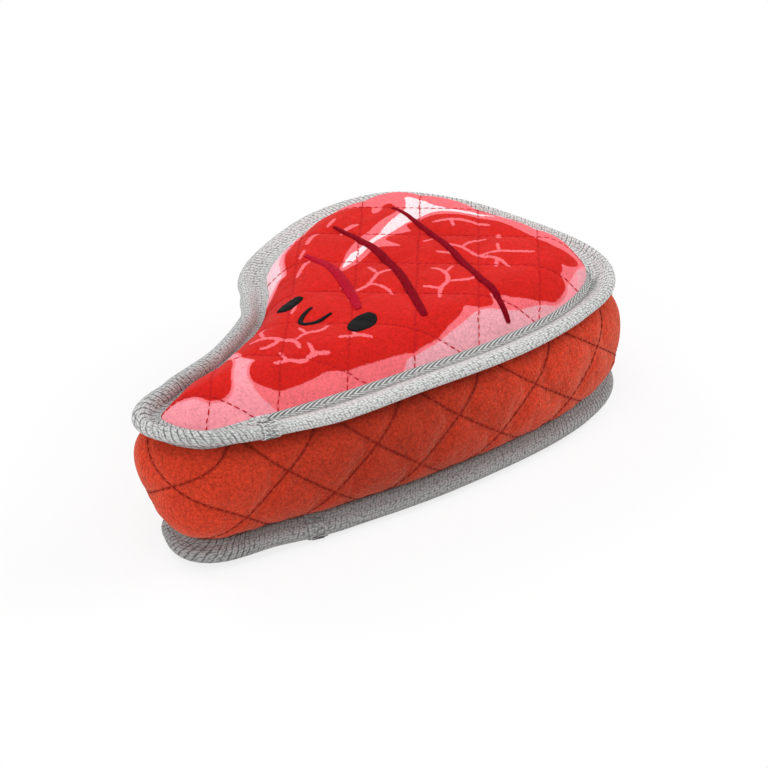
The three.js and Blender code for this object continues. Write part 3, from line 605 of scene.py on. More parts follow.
def eased(line):
    """An open line with its corners cut and its ends kept."""
    middle = np.stack([line[:-1] * 0.75 + line[1:] * 0.25, line[:-1] * 0.25 + line[1:] * 0.75], 1)
    return np.concatenate([line[:1], middle.reshape(-1, 2), line[-1:]])


def vein(width, *corners):
    """A printed vein's corners with their widths, which taper to both ends, on a rounded line."""
    line = eased(eased(np.array(corners, float)))
    share = np.linspace(0, 1, len(line))
    widths = width * (VEIN_END + (1 - VEIN_END) * np.sin(math.pi * share) ** 0.5)
    return np.concatenate([line, widths[:, None]], 1)


# The print, as outlines in plan: lean meat, the tail's patch, the pale fat behind, the bone's pale
# core, where the pink is stronger, and the dusty pink along the front. Its veins are laid out anew.
LEAN = [
    (88, -18), (82.5, -20.5), (78.5, -20.3), (76.1, -18.8), (74.9, -21), (72.2, -21.9),
    (72.1, -24.3), (70.5, -26.9), (66.6, -28.5), (62.7, -29.5), (59.8, -29.6), (57.1, -28.4),
    (52.6, -27.3), (48.6, -25.9), (44.9, -24.1), (41.6, -22), (39.4, -20.5), (37, -17.6),
    (36.2, -21), (34.5, -23.2), (30.7, -22.2), (28.4, -20.8), (25.5, -19.5), (23.4, -18.4),
    (20.9, -20.2), (17.6, -21.1), (13, -21.6), (5.4, -22.7), (-2.9, -22.4), (-11.6, -20.9),
    (-17.8, -19.6), (-23.9, -18.2), (-29.9, -16.9), (-33.7, -15.7), (-37.2, -14.3), (-40.5, -13.3),
    (-47.1, -13.1), (-54.7, -11.7), (-58.7, -10.4), (-61.8, -8.7), (-64.5, -6.6), (-66.3, -4.4),
    (-66.4, -2.4), (-64.8, -0.1), (-62, 2.2), (-58.6, 3.5), (-59.7, 5.5), (-60.8, 8.1),
    (-58.1, 13.1), (-56, 20), (-55, 30), (-45, 42), (-23, 50), (-20.9, 44.7), (-18.5, 43.8),
    (-13.5, 46.7), (-8.3, 49.1), (-6.3, 47.9), (-3.4, 51.8), (0.1, 57), (5.1, 61.7), (12, 65.5),
    (21.3, 69), (30, 72), (38.5, 73.3), (42.5, 70.5), (47.3, 67.9), (51.2, 65.6), (53, 63.3),
    (49.7, 61), (47.9, 57.8), (50.5, 57.1), (53.8, 58.9), (56.9, 61.6), (59.9, 60.6), (59.8, 56.4),
    (57.6, 53.5), (53.1, 51.7), (48.4, 51.3), (42.2, 50), (36.4, 48.3), (31.3, 47.4), (26.4, 45),
    (22.2, 43.2), (17.8, 40.6), (13.1, 37.2), (8.5, 33.8), (4.4, 30.2), (8.8, 30.8), (12.9, 31.8),
    (19, 32.8), (25.1, 34.9), (29.6, 35.2), (32.7, 32.8), (37.5, 29.2), (36.2, 34.2), (35.6, 37.6),
    (38.7, 39.8), (42.8, 40.1), (46, 38.9), (50, 37), (50.1, 40.3), (51, 41.8), (55.4, 41.8),
    (59.8, 41.9), (64.3, 40.7), (67.8, 38.6), (71.6, 35), (75.4, 30.3), (78, 24.4), (79.8, 17.8),
    (81.1, 10.8), (81.7, 3.2), (81.8, -4.9), (82, -10.5), (84.6, -14.5),
]
TAIL_PATCH = [
    (-94, 12), (-88.6, 5.6), (-86.1, 3.1), (-85, 0.6), (-83.4, -1.2), (-80.8, -2.3), (-77.7, -2.9),
    (-75.4, -2.4), (-73.5, -1.2), (-72.4, 0.7), (-70, 3.5), (-65.8, 7.5), (-62.9, 11.8), (-61, 19),
    (-61, 34), (-80, 32), (-96, 26),
]
BACK_FAT = [
    (-24, 46), (-20, 46.5), (-14.5, 48.6), (-9.5, 51), (-7.2, 50), (-5, 53), (-1.6, 58.4),
    (3.4, 63.2), (9, 66.8), (14, 69.2), (20, 72), (24, 76), (20, 100), (-10, 90), (-40, 60),
]
BONE = [
    (7.7, 32.3), (12.8, 36.3), (18.3, 39), (23.1, 40.2), (27, 41), (30.1, 41.5), (35.6, 43.3),
    (39.3, 44.5), (43.7, 46.3), (49.3, 48.1), (54.9, 50), (60.3, 52.2), (64.9, 56.5), (67.4, 60.3),
    (70.4, 56.9), (71.8, 52.5), (71.4, 48), (74, 43.1), (76.5, 37.1), (80, 29.2), (83.3, 21.1),
    (78.7, 27.9), (75.8, 33.5), (72.3, 38.6), (68.8, 41.9), (64.6, 43.4), (59.3, 43.6), (53.9, 42.8),
    (49.2, 42.3), (45.7, 42), (41, 41.7), (35.3, 40.1), (31.3, 39.3), (27.1, 38.1), (22.8, 37),
    (16.7, 34.9), (11.5, 33.2),
]
STRONG = [
    (0, 24), (10, 64), (18, 71), (24, 74), (30, 100), (130, 100), (130, -12), (96, -15), (88, -19),
    (72, -26), (64, -30.2), (59, -30), (54, -28.8), (46, -28), (40, -27), (35.6, -25.2), (32, -23.4),
    (27, -21.8), (23, -22.4), (17.5, -23.4), (4, -23.3), (-2, -23.4), (-7, -22.6), (-11, -23.2),
    (-14, -25), (-18, -32), (-40, -30), (-56, -20), (-66, -11), (-68, -4), (-60, 4), (-20, 0),
]
FRONT_FAT = [
    (-16, -34), (-13.8, -26), (-10.7, -23.1), (-7, -22.4), (-1.8, -23.3), (4.3, -23.3), (10.2, -23.5),
    (17.5, -23.4), (22.9, -22.6), (27.4, -21.8), (32.2, -23.4), (35.6, -25.4), (40.3, -27.1),
    (46.3, -28.1), (53.7, -29), (59.2, -30.2), (64.7, -30.6), (72.1, -29.4), (76.9, -27), (80.8, -24.1),
    (81.7, -22), (88.9, -19.4), (96, -16), (110, -30), (90, -55), (-16, -55),
]
VEINS = [
    vein(1.9, (-52, 15), (-47, 13), (-43, 9), (-40, 4), (-42, -1)),
    vein(1.5, (-43, 9), (-48, 7), (-53, 8)),
    vein(1.6, (-47, 13), (-44, 19), (-39, 22)),
    vein(1.5, (-40, 4), (-34, 5), (-29, 2), (-24, 4)),
    vein(1.3, (-34, 5), (-33, 10)),
    vein(1.9, (-55, -2), (-50, -3), (-46, -7), (-40, -6), (-35, -9)),
    vein(1.4, (-50, -3), (-49, 2)),
    vein(1.4, (-40, -6), (-38, -1)),
    vein(1.7, (-27, -5), (-21, -7), (-17, -12)),
    vein(1.3, (-21, -7), (-18, -3)),
    vein(1.5, (-28, 20), (-22, 24), (-19, 30)),
    vein(1.5, (-6, 13), (1, 17), (8, 16), (15, 20), (22, 18)),
    vein(1.3, (8, 16), (11, 10), (9, 5)),
    vein(1.4, (15, 20), (17, 27)),
    vein(1.2, (1, 17), (-2, 22)),
    vein(1.7, (20, -9), (25, -4), (31, -3), (35, 3), (34, 10)),
    vein(1.4, (25, -4), (22, 2)),
    vein(1.5, (31, -3), (37, -7), (43, -6)),
    vein(1.2, (35, 3), (41, 5)),
    vein(2.0, (60, 36), (67, 33), (72, 27), (75, 19)),
    vein(1.5, (67, 33), (64, 28)),
    vein(1.7, (50, 21), (54, 13), (54, 5), (58, -2), (57, -10)),
    vein(1.5, (54, 5), (62, 1), (67, -5), (73, -8)),
    vein(1.4, (54, 13), (61, 15), (66, 12)),
    vein(1.3, (62, 1), (66, 6)),
    vein(1.4, (58, -2), (53, -6)),
    vein(1.3, (47, 28), (52, 26)),
    vein(1.6, (44, 17), (47, 12)),
    vein(1.8, (-7, 41), (-1, 45), (4, 46)),
    vein(1.5, (3, 51), (8, 54)),
    vein(2.2, (12, 57), (16, 60), (21, 61)),
    vein(1.6, (27, 62), (34, 65)),
    vein(1.8, (27, 54), (33, 56), (38, 56)),
    vein(2.6, (71, 10), (72, 11)),
    vein(2.2, (-30, 11), (-29, 12)),
]


def field(tree, name):
    """One of a piece's stored numbers."""
    return add_node(tree, "ShaderNodeAttribute", attribute_name=name).outputs["Fac"]


def mix_colour(tree, share, under, over):
    """One colour laid over another, each a socket or a plain colour."""
    return add_node(tree, "ShaderNodeMix", {0: share, 6: under, 7: over}, data_type="RGBA").outputs[2]


def speckle(tree, place, scale, detail, roughness=0.5, distortion=0.0):
    """Irregular grain at a scale, as fine as its detail."""
    return add_node(tree, "ShaderNodeTexNoise", {"Vector": place, "Scale": scale, "Detail": detail,
                    "Roughness": roughness, "Distortion": distortion}).outputs["Fac"]


def lay_surface(tree, output, colour, relief, settings):
    """A material's shader: its colour, its relief as a height with the strength and distance of its
    bump, and its other settings."""
    height, strength, distance = relief
    bump = add_node(tree, "ShaderNodeBump", {"Height": height, "Strength": strength, "Distance": distance})
    inputs = {"Base Color": colour, "Normal": bump.outputs[0], **settings}
    principled = add_node(tree, "ShaderNodeBsdfPrincipled", inputs)
    tree.links.new(principled.outputs[0], output.inputs[0])


def srgb(red, green, blue):
    """A linear colour from its 0 to 255 screen values."""
    channels = [c / 255 for c in (red, green, blue)]
    return tuple(c / 12.92 if c <= 0.04045 else ((c + 0.055) / 1.055) ** 2.4 for c in channels) + (1.0,)


def node_group(name, kind, inputs, outputs):
    """An empty shader or geometry group with its sockets, and its two end nodes."""
    group = bpy.data.node_groups.new(name, kind)
    for label, socket_type, value in inputs:
        socket = group.interface.new_socket(label, in_out="INPUT", socket_type=socket_type)
        if value is not None:
            socket.default_value = value
    for label, socket_type in outputs:
        group.interface.new_socket(label, in_out="OUTPUT", socket_type=socket_type)
    return group, group.nodes.new("NodeGroupInput"), group.nodes.new("NodeGroupOutput")


# Short pile: tufts that lean together over fine fibres, with painted shade along the sunk lines of its
# stitches, where the pile parts
FIBRE_SHARE = 0.45
PATCH_SCALE = 110.0
PATCH_SHARE = 0.1
pile, start, end = node_group("short pile", "ShaderNodeTree", [
    ("Tuft Scale", "NodeSocketFloat", 900.0), ("Fibre Scale", "NodeSocketFloat", 2300.0),
    ("Stitch Distance", "NodeSocketFloat", FAR_OFF), ("Stitch Shade", "NodeSocketFloat", 0.3),
    ("Stitch Shade Width", "NodeSocketFloat", 1.0), ("Mottle", "NodeSocketFloat", 0.2),
], [("Shade", "NodeSocketFloat"), ("Height", "NodeSocketFloat"), ("Wobble", "NodeSocketFloat")])
place = object_place(pile)
tufts = speckle(pile, place, start.outputs["Tuft Scale"], 3.0, 0.6, 0.6)
fibres = speckle(pile, place, start.outputs["Fibre Scale"], 2.0, 0.6)
patches = speckle(pile, place, PATCH_SCALE, 2.0)
height = math_node(pile, "MULTIPLY_ADD", fibres, FIBRE_SHARE,
                   math_node(pile, "MULTIPLY", tufts, 1 - FIBRE_SHARE))
mottled = math_node(pile, "MULTIPLY_ADD", patches, PATCH_SHARE,
                    math_node(pile, "MULTIPLY", height, 1 - PATCH_SHARE))
centred = math_node(pile, "SUBTRACT", mottled, 0.5)
spread = math_node(pile, "MULTIPLY", centred, math_node(pile, "MULTIPLY", start.outputs["Mottle"], 4.0))
# Painted shade along the stitches: full on their lines, gone at the width's distance
near = ranged(pile, start.outputs["Stitch Distance"], 0.0, start.outputs["Stitch Shade Width"], 1.0, 0.0,
              "SMOOTHSTEP")
painted_stitch_shade = math_node(pile, "MULTIPLY", near, start.outputs["Stitch Shade"])
shade = math_node(pile, "SUBTRACT", math_node(pile, "ADD", spread, 1.0), painted_stitch_shade)
pile.links.new(shade, end.inputs["Shade"])
pile.links.new(height, end.inputs["Height"])
pile.links.new(math_node(pile, "SUBTRACT", tufts, 0.5), end.inputs["Wobble"])

RED_LEAN = srgb(216, 33, 26)
RED_LEAN_DEEP = srgb(200, 25, 20)
TAIL_PINK = srgb(255, 156, 168)
STRONG_PINK = srgb(248, 112, 120)
FRONT_PINK = srgb(240, 166, 176)
PALE_FAT = srgb(255, 210, 220)
PALE_BONE = srgb(250, 224, 228)
INK_WOBBLE = 1.2
INK_SOFTNESS = 0.22
LEAN_RIM = 0.9
LEAN_RIM_STRENGTH = 0.8


def shaded(tree, colour, shade):
    """A colour made lighter or darker by a share."""
    return add_node(tree, "ShaderNodeHueSaturation", {"Color": colour, "Value": shade}).outputs[0]


def printed_mask(tree, distance, wobble, inset=0.0):
    """Where ink reaches: soft by the length of the pile."""
    moved = math_node(tree, "MULTIPLY_ADD", wobble, INK_WOBBLE, distance)
    return ranged(tree, moved, inset - INK_SOFTNESS, inset + INK_SOFTNESS, kind="SMOOTHSTEP")


def use_pile(tree, stitch_shade, stitch_shade_width, mottle):
    """Short pile on a piece, with painted shade along the sunk lines of its stitches."""
    return add_node(tree, "ShaderNodeGroup", {
        "Stitch Distance": field(tree, "stitch"), "Stitch Shade": stitch_shade, "Stitch Shade Width": stitch_shade_width,
        "Mottle": mottle}, node_tree=pile)


printed_plush, output = blank_material("printed plush")
tree = printed_plush.node_tree
# Faint painted shade along the top's stitch lines
nap = use_pile(tree, 0.1, 0.9, 0.42)
wobble = nap.outputs["Wobble"]
colour = TAIL_PINK
for name, ink in (("strong", STRONG_PINK), ("front", FRONT_PINK), ("fat", PALE_FAT), ("bone", PALE_BONE)):
    colour = mix_colour(tree, printed_mask(tree, field(tree, name), wobble), colour, ink)
rim = printed_mask(tree, field(tree, "lean"), wobble, -LEAN_RIM)
colour = mix_colour(tree, math_node(tree, "MULTIPLY", rim, LEAN_RIM_STRENGTH), colour, STRONG_PINK)
depths = speckle(tree, object_place(tree), 38.0, 1.0)
colour = mix_colour(tree, printed_mask(tree, field(tree, "lean"), wobble), colour,
                    mix_colour(tree, depths, RED_LEAN, RED_LEAN_DEEP))
colour = mix_colour(tree, printed_mask(tree, field(tree, "vein"), wobble), colour, STRONG_PINK)
colour = shaded(tree, colour, nap.outputs["Shade"])
lay_surface(tree, output, colour, (nap.outputs["Height"], 0.55, 0.0006), {
    "Roughness": 0.9, "Specular IOR Level": 0.12, "Sheen Weight": 0.12, "Sheen Roughness": 0.4,
    "Sheen Tint": (1.0, 0.55, 0.55, 1.0)})

top_panel = quilted_panel("top_panel_quilting", top_seam, top_height, top_lining, printed_plush,
                          TOP_PUFF_LIMIT)
points = mesh_points(top_panel)
add_values(top_panel, "lean", np.maximum(edge_depth(points, rounded(LEAN)),
                                         edge_depth(points, rounded(TAIL_PATCH))))
for name, outline in (("fat", BACK_FAT), ("bone", BONE), ("front", FRONT_FAT), ("strong", STRONG)):
    add_values(top_panel, name, edge_depth(points, rounded(outline)))
add_values(top_panel, "vein", stroke_depth(points, VEINS))
add_values(top_panel, "stitch", stitch_distance(points, top_loop))
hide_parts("top_panel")
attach(top_panel, "toy")

# Quilting stitches of the top: dark red thread in running stitches that go through the panel and
# its wadding and sink into the pile. Sewn by hand-fed machine, they sway a little off their lines.
STITCH_PITCH = 2.9
STITCH_LENGTH = 2.3
STITCH_THREAD = 0.55
STITCH_SINK = 0.02
STITCH_SWAY = 0.16
SWAY_RUN = 3
SWAY_SEED = 9
LINE_REACH = 160.0
LINES_EACH_WAY = 7
SHORTEST_LINE = 6
THREAD_PLIES = 900.0


def end_tree(group, geometry, start, end):
    """Makes a tree's instances real and smooth, and gives them its finish."""
    real = add_node(group, "GeometryNodeRealizeInstances", {"Geometry": geometry})
    soft = add_node(group, "GeometryNodeSetShadeSmooth", {"Geometry": real.outputs[0]})
    finish = add_node(group, "GeometryNodeSetMaterial",
                      {"Geometry": soft.outputs[0], "Material": start.outputs["Finish"]})
    group.links.new(finish.outputs[0], end.inputs[0])


def grow(name, lines, group, **values):
    """Runs a geometry tree on lines of plan points, and keeps what it makes as a plain mesh."""
    points = np.concatenate(lines)
    starts = np.cumsum([0] + [len(line) for line in lines])
    edges = [(k, k + 1) for a, b in zip(starts, starts[1:]) for k in range(a, b - 1)]
    mesh = bpy.data.meshes.new(name)
    mesh.from_pydata(in_metres(points).tolist(), [(int(a), int(b)) for a, b in edges], [])
    piece = bpy.data.objects.new(name, mesh)
    scene.collection.objects.link(piece)
    grower = piece.modifiers.new("geometry", "NODES")
    grower.node_group = group
    for item in group.interface.items_tree:
        if item.item_type == "SOCKET" and item.in_out == "INPUT" and item.name in values:
            grower[item.identifier] = values[item.name]
    apply_modifiers(piece)
    return piece


running_stitches, start, end = node_group("running stitches", "GeometryNodeTree", [
    ("Lines", "NodeSocketGeometry", None), ("Pitch", "NodeSocketFloat", 0.004),
    ("Length", "NodeSocketFloat", 0.0027), ("Thread", "NodeSocketFloat", 0.0005),
    ("Jitter", "NodeSocketFloat", 0.12), ("Seed", "NodeSocketInt", 3),
    ("Finish", "NodeSocketMaterial", None),
], [("Geometry", "NodeSocketGeometry")])
curve = add_node(running_stitches, "GeometryNodeMeshToCurve", {"Mesh": start.outputs["Lines"]})
spots = add_node(running_stitches, "GeometryNodeCurveToPoints",
                 {"Curve": curve.outputs[0], "Length": start.outputs["Pitch"]}, mode="LENGTH")
bead = add_node(running_stitches, "GeometryNodeMeshUVSphere", {"Segments": 6, "Rings": 5, "Radius": 1.0})
turn = add_node(running_stitches, "FunctionNodeAlignRotationToVector", {"Vector": spots.outputs["Tangent"]},
                axis="Z")
half_thread = math_node(running_stitches, "MULTIPLY", start.outputs["Thread"], 0.5)
half_length = math_node(running_stitches, "MULTIPLY", start.outputs["Length"], 0.5)
size = add_node(running_stitches, "ShaderNodeCombineXYZ",
                {"X": half_thread, "Y": half_thread, "Z": half_length})
shortest = math_node(running_stitches, "SUBTRACT", 1.0, start.outputs["Jitter"])
longest = math_node(running_stitches, "ADD", 1.0, start.outputs["Jitter"])
uneven = add_node(running_stitches, "FunctionNodeRandomValue",
                  {2: shortest, 3: longest, "Seed": start.outputs["Seed"]}, data_type="FLOAT")
scaled = add_node(running_stitches, "ShaderNodeVectorMath", {0: size.outputs[0], "Scale": uneven.outputs[1]},
                  operation="SCALE")
placed = add_node(running_stitches, "GeometryNodeInstanceOnPoints", {
    "Points": spots.outputs["Points"], "Instance": bead.outputs["Mesh"], "Rotation": turn.outputs[0],
    "Scale": scaled.outputs[0]})
end_tree(running_stitches, placed.outputs[0], start, end)


def thread_material(name, colour, roughness):
    """Twisted thread, with its plies slanting across it."""
    material, output = blank_material(name)
    tree = material.node_tree
    plies = add_node(tree, "ShaderNodeTexWave", {"Vector": object_place(tree), "Scale": THREAD_PLIES,
                     "Distortion": 2.0}, bands_direction="DIAGONAL").outputs["Fac"]
    shade = ranged(tree, plies, 0.0, 1.0, 0.78, 1.12)
    lay_surface(tree, output, shaded(tree, colour, shade), (plies, 0.4, 0.0001), {
        "Roughness": roughness, "Specular IOR Level": 0.1})
    return material


def surface_over(piece):
    """A tree that finds the outer face of a piece under or beside any plan point."""
    return BVHTree.FromObject(piece, bpy.context.evaluated_depsgraph_get())


def drop(tree, plan, lift, start=200.0, towards=-1):
    """Points of a surface straight under, or over, plan points, lifted off it along its normal."""
    laid = []
    for x, y in plan:
        at = in_metres([x, y, start])
        hit, normal, _, _ = tree.ray_cast(Vector(at), Vector((0, 0, towards)))
        if hit is not None:
            laid.append(np.array(hit + normal * lift / 1000) * 1000 - PLAN_ORIGIN)
    return np.array(laid)


def quilting_lines(loop):
    """Plan points a millimetre apart along the quilting's lines, which stop short of a seam."""
    lines = []
    reach = np.arange(-LINE_REACH, LINE_REACH, 1)
    for k in range(-LINES_EACH_WAY, LINES_EACH_WAY + 1):
        offset = (k + 0.5) * QUILT_PITCH
        for sign in (1, -1):
            plan = np.stack([offset + reach, sign * (offset - reach)], 1) * math.sqrt(0.5)
            keep = edge_depth(plan, loop) > PUFF_START
            for run in np.split(np.arange(len(plan)), np.flatnonzero(np.diff(keep.astype(int))) + 1):
                if keep[run[0]] and len(run) > SHORTEST_LINE:
                    lines.append(plan[run])
    return lines


def sewn(name, lines, thread):
    """Running stitches along lines of plan points."""
    return grow(name, lines, running_stitches, Pitch=STITCH_PITCH / 1000, Length=STITCH_LENGTH / 1000,
                Thread=STITCH_THREAD / 1000, Finish=thread)


dark_thread = thread_material("dark red thread", srgb(204, 32, 39), 0.85)
top_surface = surface_over(top_panel)
sway = np.random.default_rng(SWAY_SEED)
lines = []
for line in quilting_lines(top_loop):
    steps_off = sway.normal(0, STITCH_SWAY, (len(line) // SWAY_RUN + 1, 2))
    swayed = line + np.repeat(steps_off, SWAY_RUN, 0)[:len(line)]
    lines.append(drop(top_surface, swayed, STITCH_SINK))
top_stitches = sewn("top_panel_stitches", lines, dark_thread)
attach(top_stitches, "toy")

# Face and seared lines: dense satin stitching over a low pad, every thread carried straight over
# from one edge of the shape to the other. The eyes and smile are black, the seared lines maroon.
SATIN_PITCH = 0.38
SATIN_THREAD = 0.46
SATIN_SLANT = 1.1
SATIN_DEPTH = 0.4
SATIN_ROOT = 0.35
PAD_ROWS = 9
PAD_LIFT = 0.12
PAD_ARCH = 0.8
PAD_END = 0.35
PAD_END_POWER = 8
PAD_EASING = 8
THREAD_SUNK = 0.3
LINE_STEPS = 40
STROKE_EASING = 10
STROKE_END = 0.15
WIDTH_EASING = 8

satin_threads, start, end = node_group("satin threads", "GeometryNodeTree", [
    ("Lines", "NodeSocketGeometry", None), ("Thread", "NodeSocketFloat", 0.00046),
    ("Sides", "NodeSocketInt", 6), ("Finish", "NodeSocketMaterial", None),
], [("Geometry", "NodeSocketGeometry")])
curve = add_node(satin_threads, "GeometryNodeMeshToCurve", {"Mesh": start.outputs["Lines"]})
half_thread = math_node(satin_threads, "MULTIPLY", start.outputs["Thread"], 0.5)
circle = add_node(satin_threads, "GeometryNodeCurvePrimitiveCircle",
                  {"Resolution": start.outputs["Sides"], "Radius": half_thread}, mode="RADIUS")
tube = add_node(satin_threads, "GeometryNodeCurveToMesh",
                {"Curve": curve.outputs[0], "Profile Curve": circle.outputs[0], "Fill Caps": True})
end_tree(satin_threads, tube.outputs[0], start, end)


def satin_material(name, colour, roughness, shine):
    """Rayon thread that shines along the shape, with a fine grain of filaments."""
    material, output = blank_material(name)
    tree = material.node_tree
    filaments = speckle(tree, object_place(tree), 1500.0, 2.0)
    shade = ranged(tree, filaments, 0.3, 0.7, 0.62, 1.35)
    lay_surface(tree, output, shaded(tree, colour, shade), (filaments, 0.3, 0.0001), {
        "Roughness": roughness, "Specular IOR Level": shine})
    return material


def running_mean(values, reach, **ends):
    """Each value's mean with so many neighbours on both sides, the ends carried on."""
    width = 2 * reach + 1
    return np.convolve(np.pad(values, reach, **ends), np.ones(width) / width, "valid")


def smooth_line(corners, count):
    """Points spaced evenly along a smooth open line through its corners."""
    corners = np.array(corners, float)
    padded = np.concatenate([2 * corners[:1] - corners[1:2], corners, 2 * corners[-1:] - corners[-2:-1]])
    line = []
    for k in range(len(corners) - 1):
        p0, p1, p2, p3 = padded[k:k + 4]
        t = np.linspace(0, 1, LINE_STEPS, endpoint=k == len(corners) - 2)[:, None]
        bend = 2 * p0 - 5 * p1 + 4 * p2 - p3 + t * (3 * (p1 - p2) + p3 - p0)
        line.append(p1 + 0.5 * t * (p2 - p0 + t * bend))
    line = np.concatenate(line)
    run = np.concatenate([[0], np.cumsum(np.linalg.norm(np.diff(line, axis=0), axis=1))])
    even = np.linspace(0, run[-1], count)
    return np.stack([np.interp(even, run, line[:, k]) for k in (0, 1)], 1), run[-1]


def stroke_edges(shares, widths):
    """Both edges of a stitched line, whose width follows a few values along it."""
    places = np.array(shares) * [SEAM_LENGTH, SEAM_WIDTH]
    _, length = smooth_line(places, 10)
    count = int(length / SATIN_PITCH)
    line, _ = smooth_line(places, count)
    for _ in range(2):
        line = np.stack([running_mean(line[:, k], count // STROKE_EASING, mode="reflect", reflect_type="odd")
                         for k in (0, 1)], 1)
    ahead = unit(np.gradient(line, axis=0))
    side = np.stack([-ahead[:, 1], ahead[:, 0]], 1)
    half = np.interp(np.linspace(0, 1, count), np.linspace(0, 1, len(widths)), widths) / 2
    half = running_mean(half, WIDTH_EASING, mode="edge")
    from_end = np.minimum(np.arange(count), np.arange(count)[::-1]) * SATIN_PITCH + STROKE_END
    half *= np.sqrt(1 - (1 - np.clip(from_end / half, 0, 1)) ** 2)
    half = half[:, None]
    return line + side * half, line - side * half


def eye_edges(shares, length, width, degrees):
    """Both edges of an oval eye, from one end of its long axis to the other."""
    centre = np.array(shares) * [SEAM_LENGTH, SEAM_WIDTH]
    turn = math.radians(degrees)
    axis = np.array([math.cos(turn), math.sin(turn)])
    side = np.array([-axis[1], axis[0]])
    along = np.linspace(-1, 1, int(length / SATIN_PITCH))[1:-1, None]
    half = width / 2 * np.sqrt(1 - along ** 2)
    line = centre + axis * along * length / 2
    return line + side * half, line - side * half


def ring_faces(columns, rows, first=0):
    """Squares over rings of points that close on themselves both ways."""
    faces = []
    for i in range(columns):
        ahead = (i + 1) % columns
        for j in range(rows):
            up = (j + 1) % rows
            faces.append([first + i * rows + j, first + ahead * rows + j, first + ahead * rows + up,
                          first + i * rows + up])
    return faces


def normals_outwards(piece):
    """Turns the faces of a closed piece outwards."""
    work = bmesh.new()
    work.from_mesh(piece.data)
    bmesh.ops.recalc_face_normals(work, faces=work.faces[:])
    work.to_mesh(piece.data)
    work.free()


def satin_stitched(name, node, edges, material, rise):
    """A pad between two edges with its threads, joined into one piece, which bridges the quilting's
    hollows."""
    left, right = edges
    count = len(left)
    shares = np.linspace(0, 1, PAD_ROWS)
    arch = np.sqrt(np.clip(1 - (2 * shares - 1) ** 2, 0, 1)) ** PAD_ARCH
    ends = np.sqrt(np.clip(1 - np.abs(np.linspace(-1, 1, count)) ** PAD_END_POWER, 0, 1))
    plan = left[:, None] * (1 - shares[:, None]) + right[:, None] * shares[:, None]
    base = drop(top_surface, plan.reshape(-1, 2), 0.0).reshape(count, PAD_ROWS, 3)
    lifted = drop(top_surface, plan.reshape(-1, 2), 1.0).reshape(count, PAD_ROWS, 3) - base
    for row in range(PAD_ROWS):
        bridged = running_mean(base[:, row, 2], count // PAD_EASING, mode="reflect", reflect_type="odd")
        base[:, row, 2] = np.maximum(base[:, row, 2], bridged)
    height = PAD_LIFT + rise * arch[None, :, None] * (PAD_END + (1 - PAD_END) * ends[:, None, None])
    upper = base + lifted * (height - SATIN_THREAD * THREAD_SUNK)
    under = base - lifted * SATIN_DEPTH
    grid = np.concatenate([upper, under[:, ::-1]], 1)
    rows = 2 * PAD_ROWS
    faces = [face for face in ring_faces(count, rows) if face[0] // rows != count - 1]
    faces.append(list(range(rows))[::-1])
    faces.append([(count - 1) * rows + k for k in range(rows)])
    pad = new_piece(name, grid.reshape(-1, 3), faces, material)
    normals_outwards(pad)
    slant = round(SATIN_SLANT / SATIN_PITCH)
    pad_rows = np.arange(PAD_ROWS)
    lines = []
    for k in range(count):
        first = max(k - slant // 2, 0)
        last = min(k + slant - slant // 2, count - 1)
        columns = first + (last - first) * shares
        low = np.floor(columns).astype(int)
        part = (columns - low)[:, None]
        high = np.minimum(low + 1, count - 1)
        at, lift, risen = (values[low, pad_rows] * (1 - part) + values[high, pad_rows] * part
                           for values in (base, lifted, height))
        line = at + lift * risen
        roots = line[[0, -1]] - lift[[0, -1]] * SATIN_ROOT
        lines.append(np.concatenate([roots[:1], line, roots[1:]]))
    threads = grow(name + "_threads", lines, satin_threads, Thread=SATIN_THREAD / 1000, Finish=material)
    work = bmesh.new()
    work.from_mesh(pad.data)
    work.from_mesh(threads.data)
    work.to_mesh(pad.data)
    work.free()
    bpy.data.objects.remove(threads)
    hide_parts(node)
    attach(pad, "toy")


black_satin = satin_material("black satin thread", srgb(17, 16, 17), 0.6, 0.1)
maroon_satin = satin_material("maroon satin thread", srgb(182, 14, 44), 0.5, 0.06)
deep_maroon_satin = satin_material("deep maroon satin thread", srgb(136, 8, 28), 0.55, 0.03)
for name, edges, finish_material, rise in [
    ("right_eye", eye_edges((-0.069, -0.024), 14.2, 8.4, 13), black_satin, 0.55),
    ("left_eye", eye_edges((-0.117, 0.22), 11.6, 6, 2), black_satin, 0.5),
    ("smile", stroke_edges(
        [(-0.105, 0.14), (-0.129, 0.131), (-0.149, 0.115), (-0.157, 0.097), (-0.15, 0.082), (-0.131, 0.074),
         (-0.091, 0.077)], (0.5, 1.2, 1.5, 1.5, 1.4, 1.1, 0.5)), black_satin, 0.4),
    ("sear_mark_tail", stroke_edges(
        [(0.025, 0.42), (0.031, 0.351), (0.022, 0.261), (-0.005, 0.149), (-0.041, 0.041)],
        (1.3, 3.0, 3.9, 4.2, 4.2, 3.8, 2.0)), maroon_satin, 0.5),
    ("sear_mark_middle", stroke_edges(
        [(0.145, 0.502), (0.15, 0.384), (0.134, 0.246), (0.101, 0.089), (0.036, -0.12)],
        (1.0, 2.6, 3.2, 3.4, 3.4, 3.2, 2.4)), deep_maroon_satin, 0.45),
    ("sear_mark_lobe", stroke_edges(
        [(0.293, 0.478), (0.287, 0.364), (0.264, 0.205), (0.236, 0.059), (0.184, -0.245)],
        (0.9, 2.0, 2.4, 2.7, 2.8, 2.7, 2.0)), deep_maroon_satin, 0.45),
]:
    satin_stitched(name + "_satin", name, edges, finish_material,
                   rise)
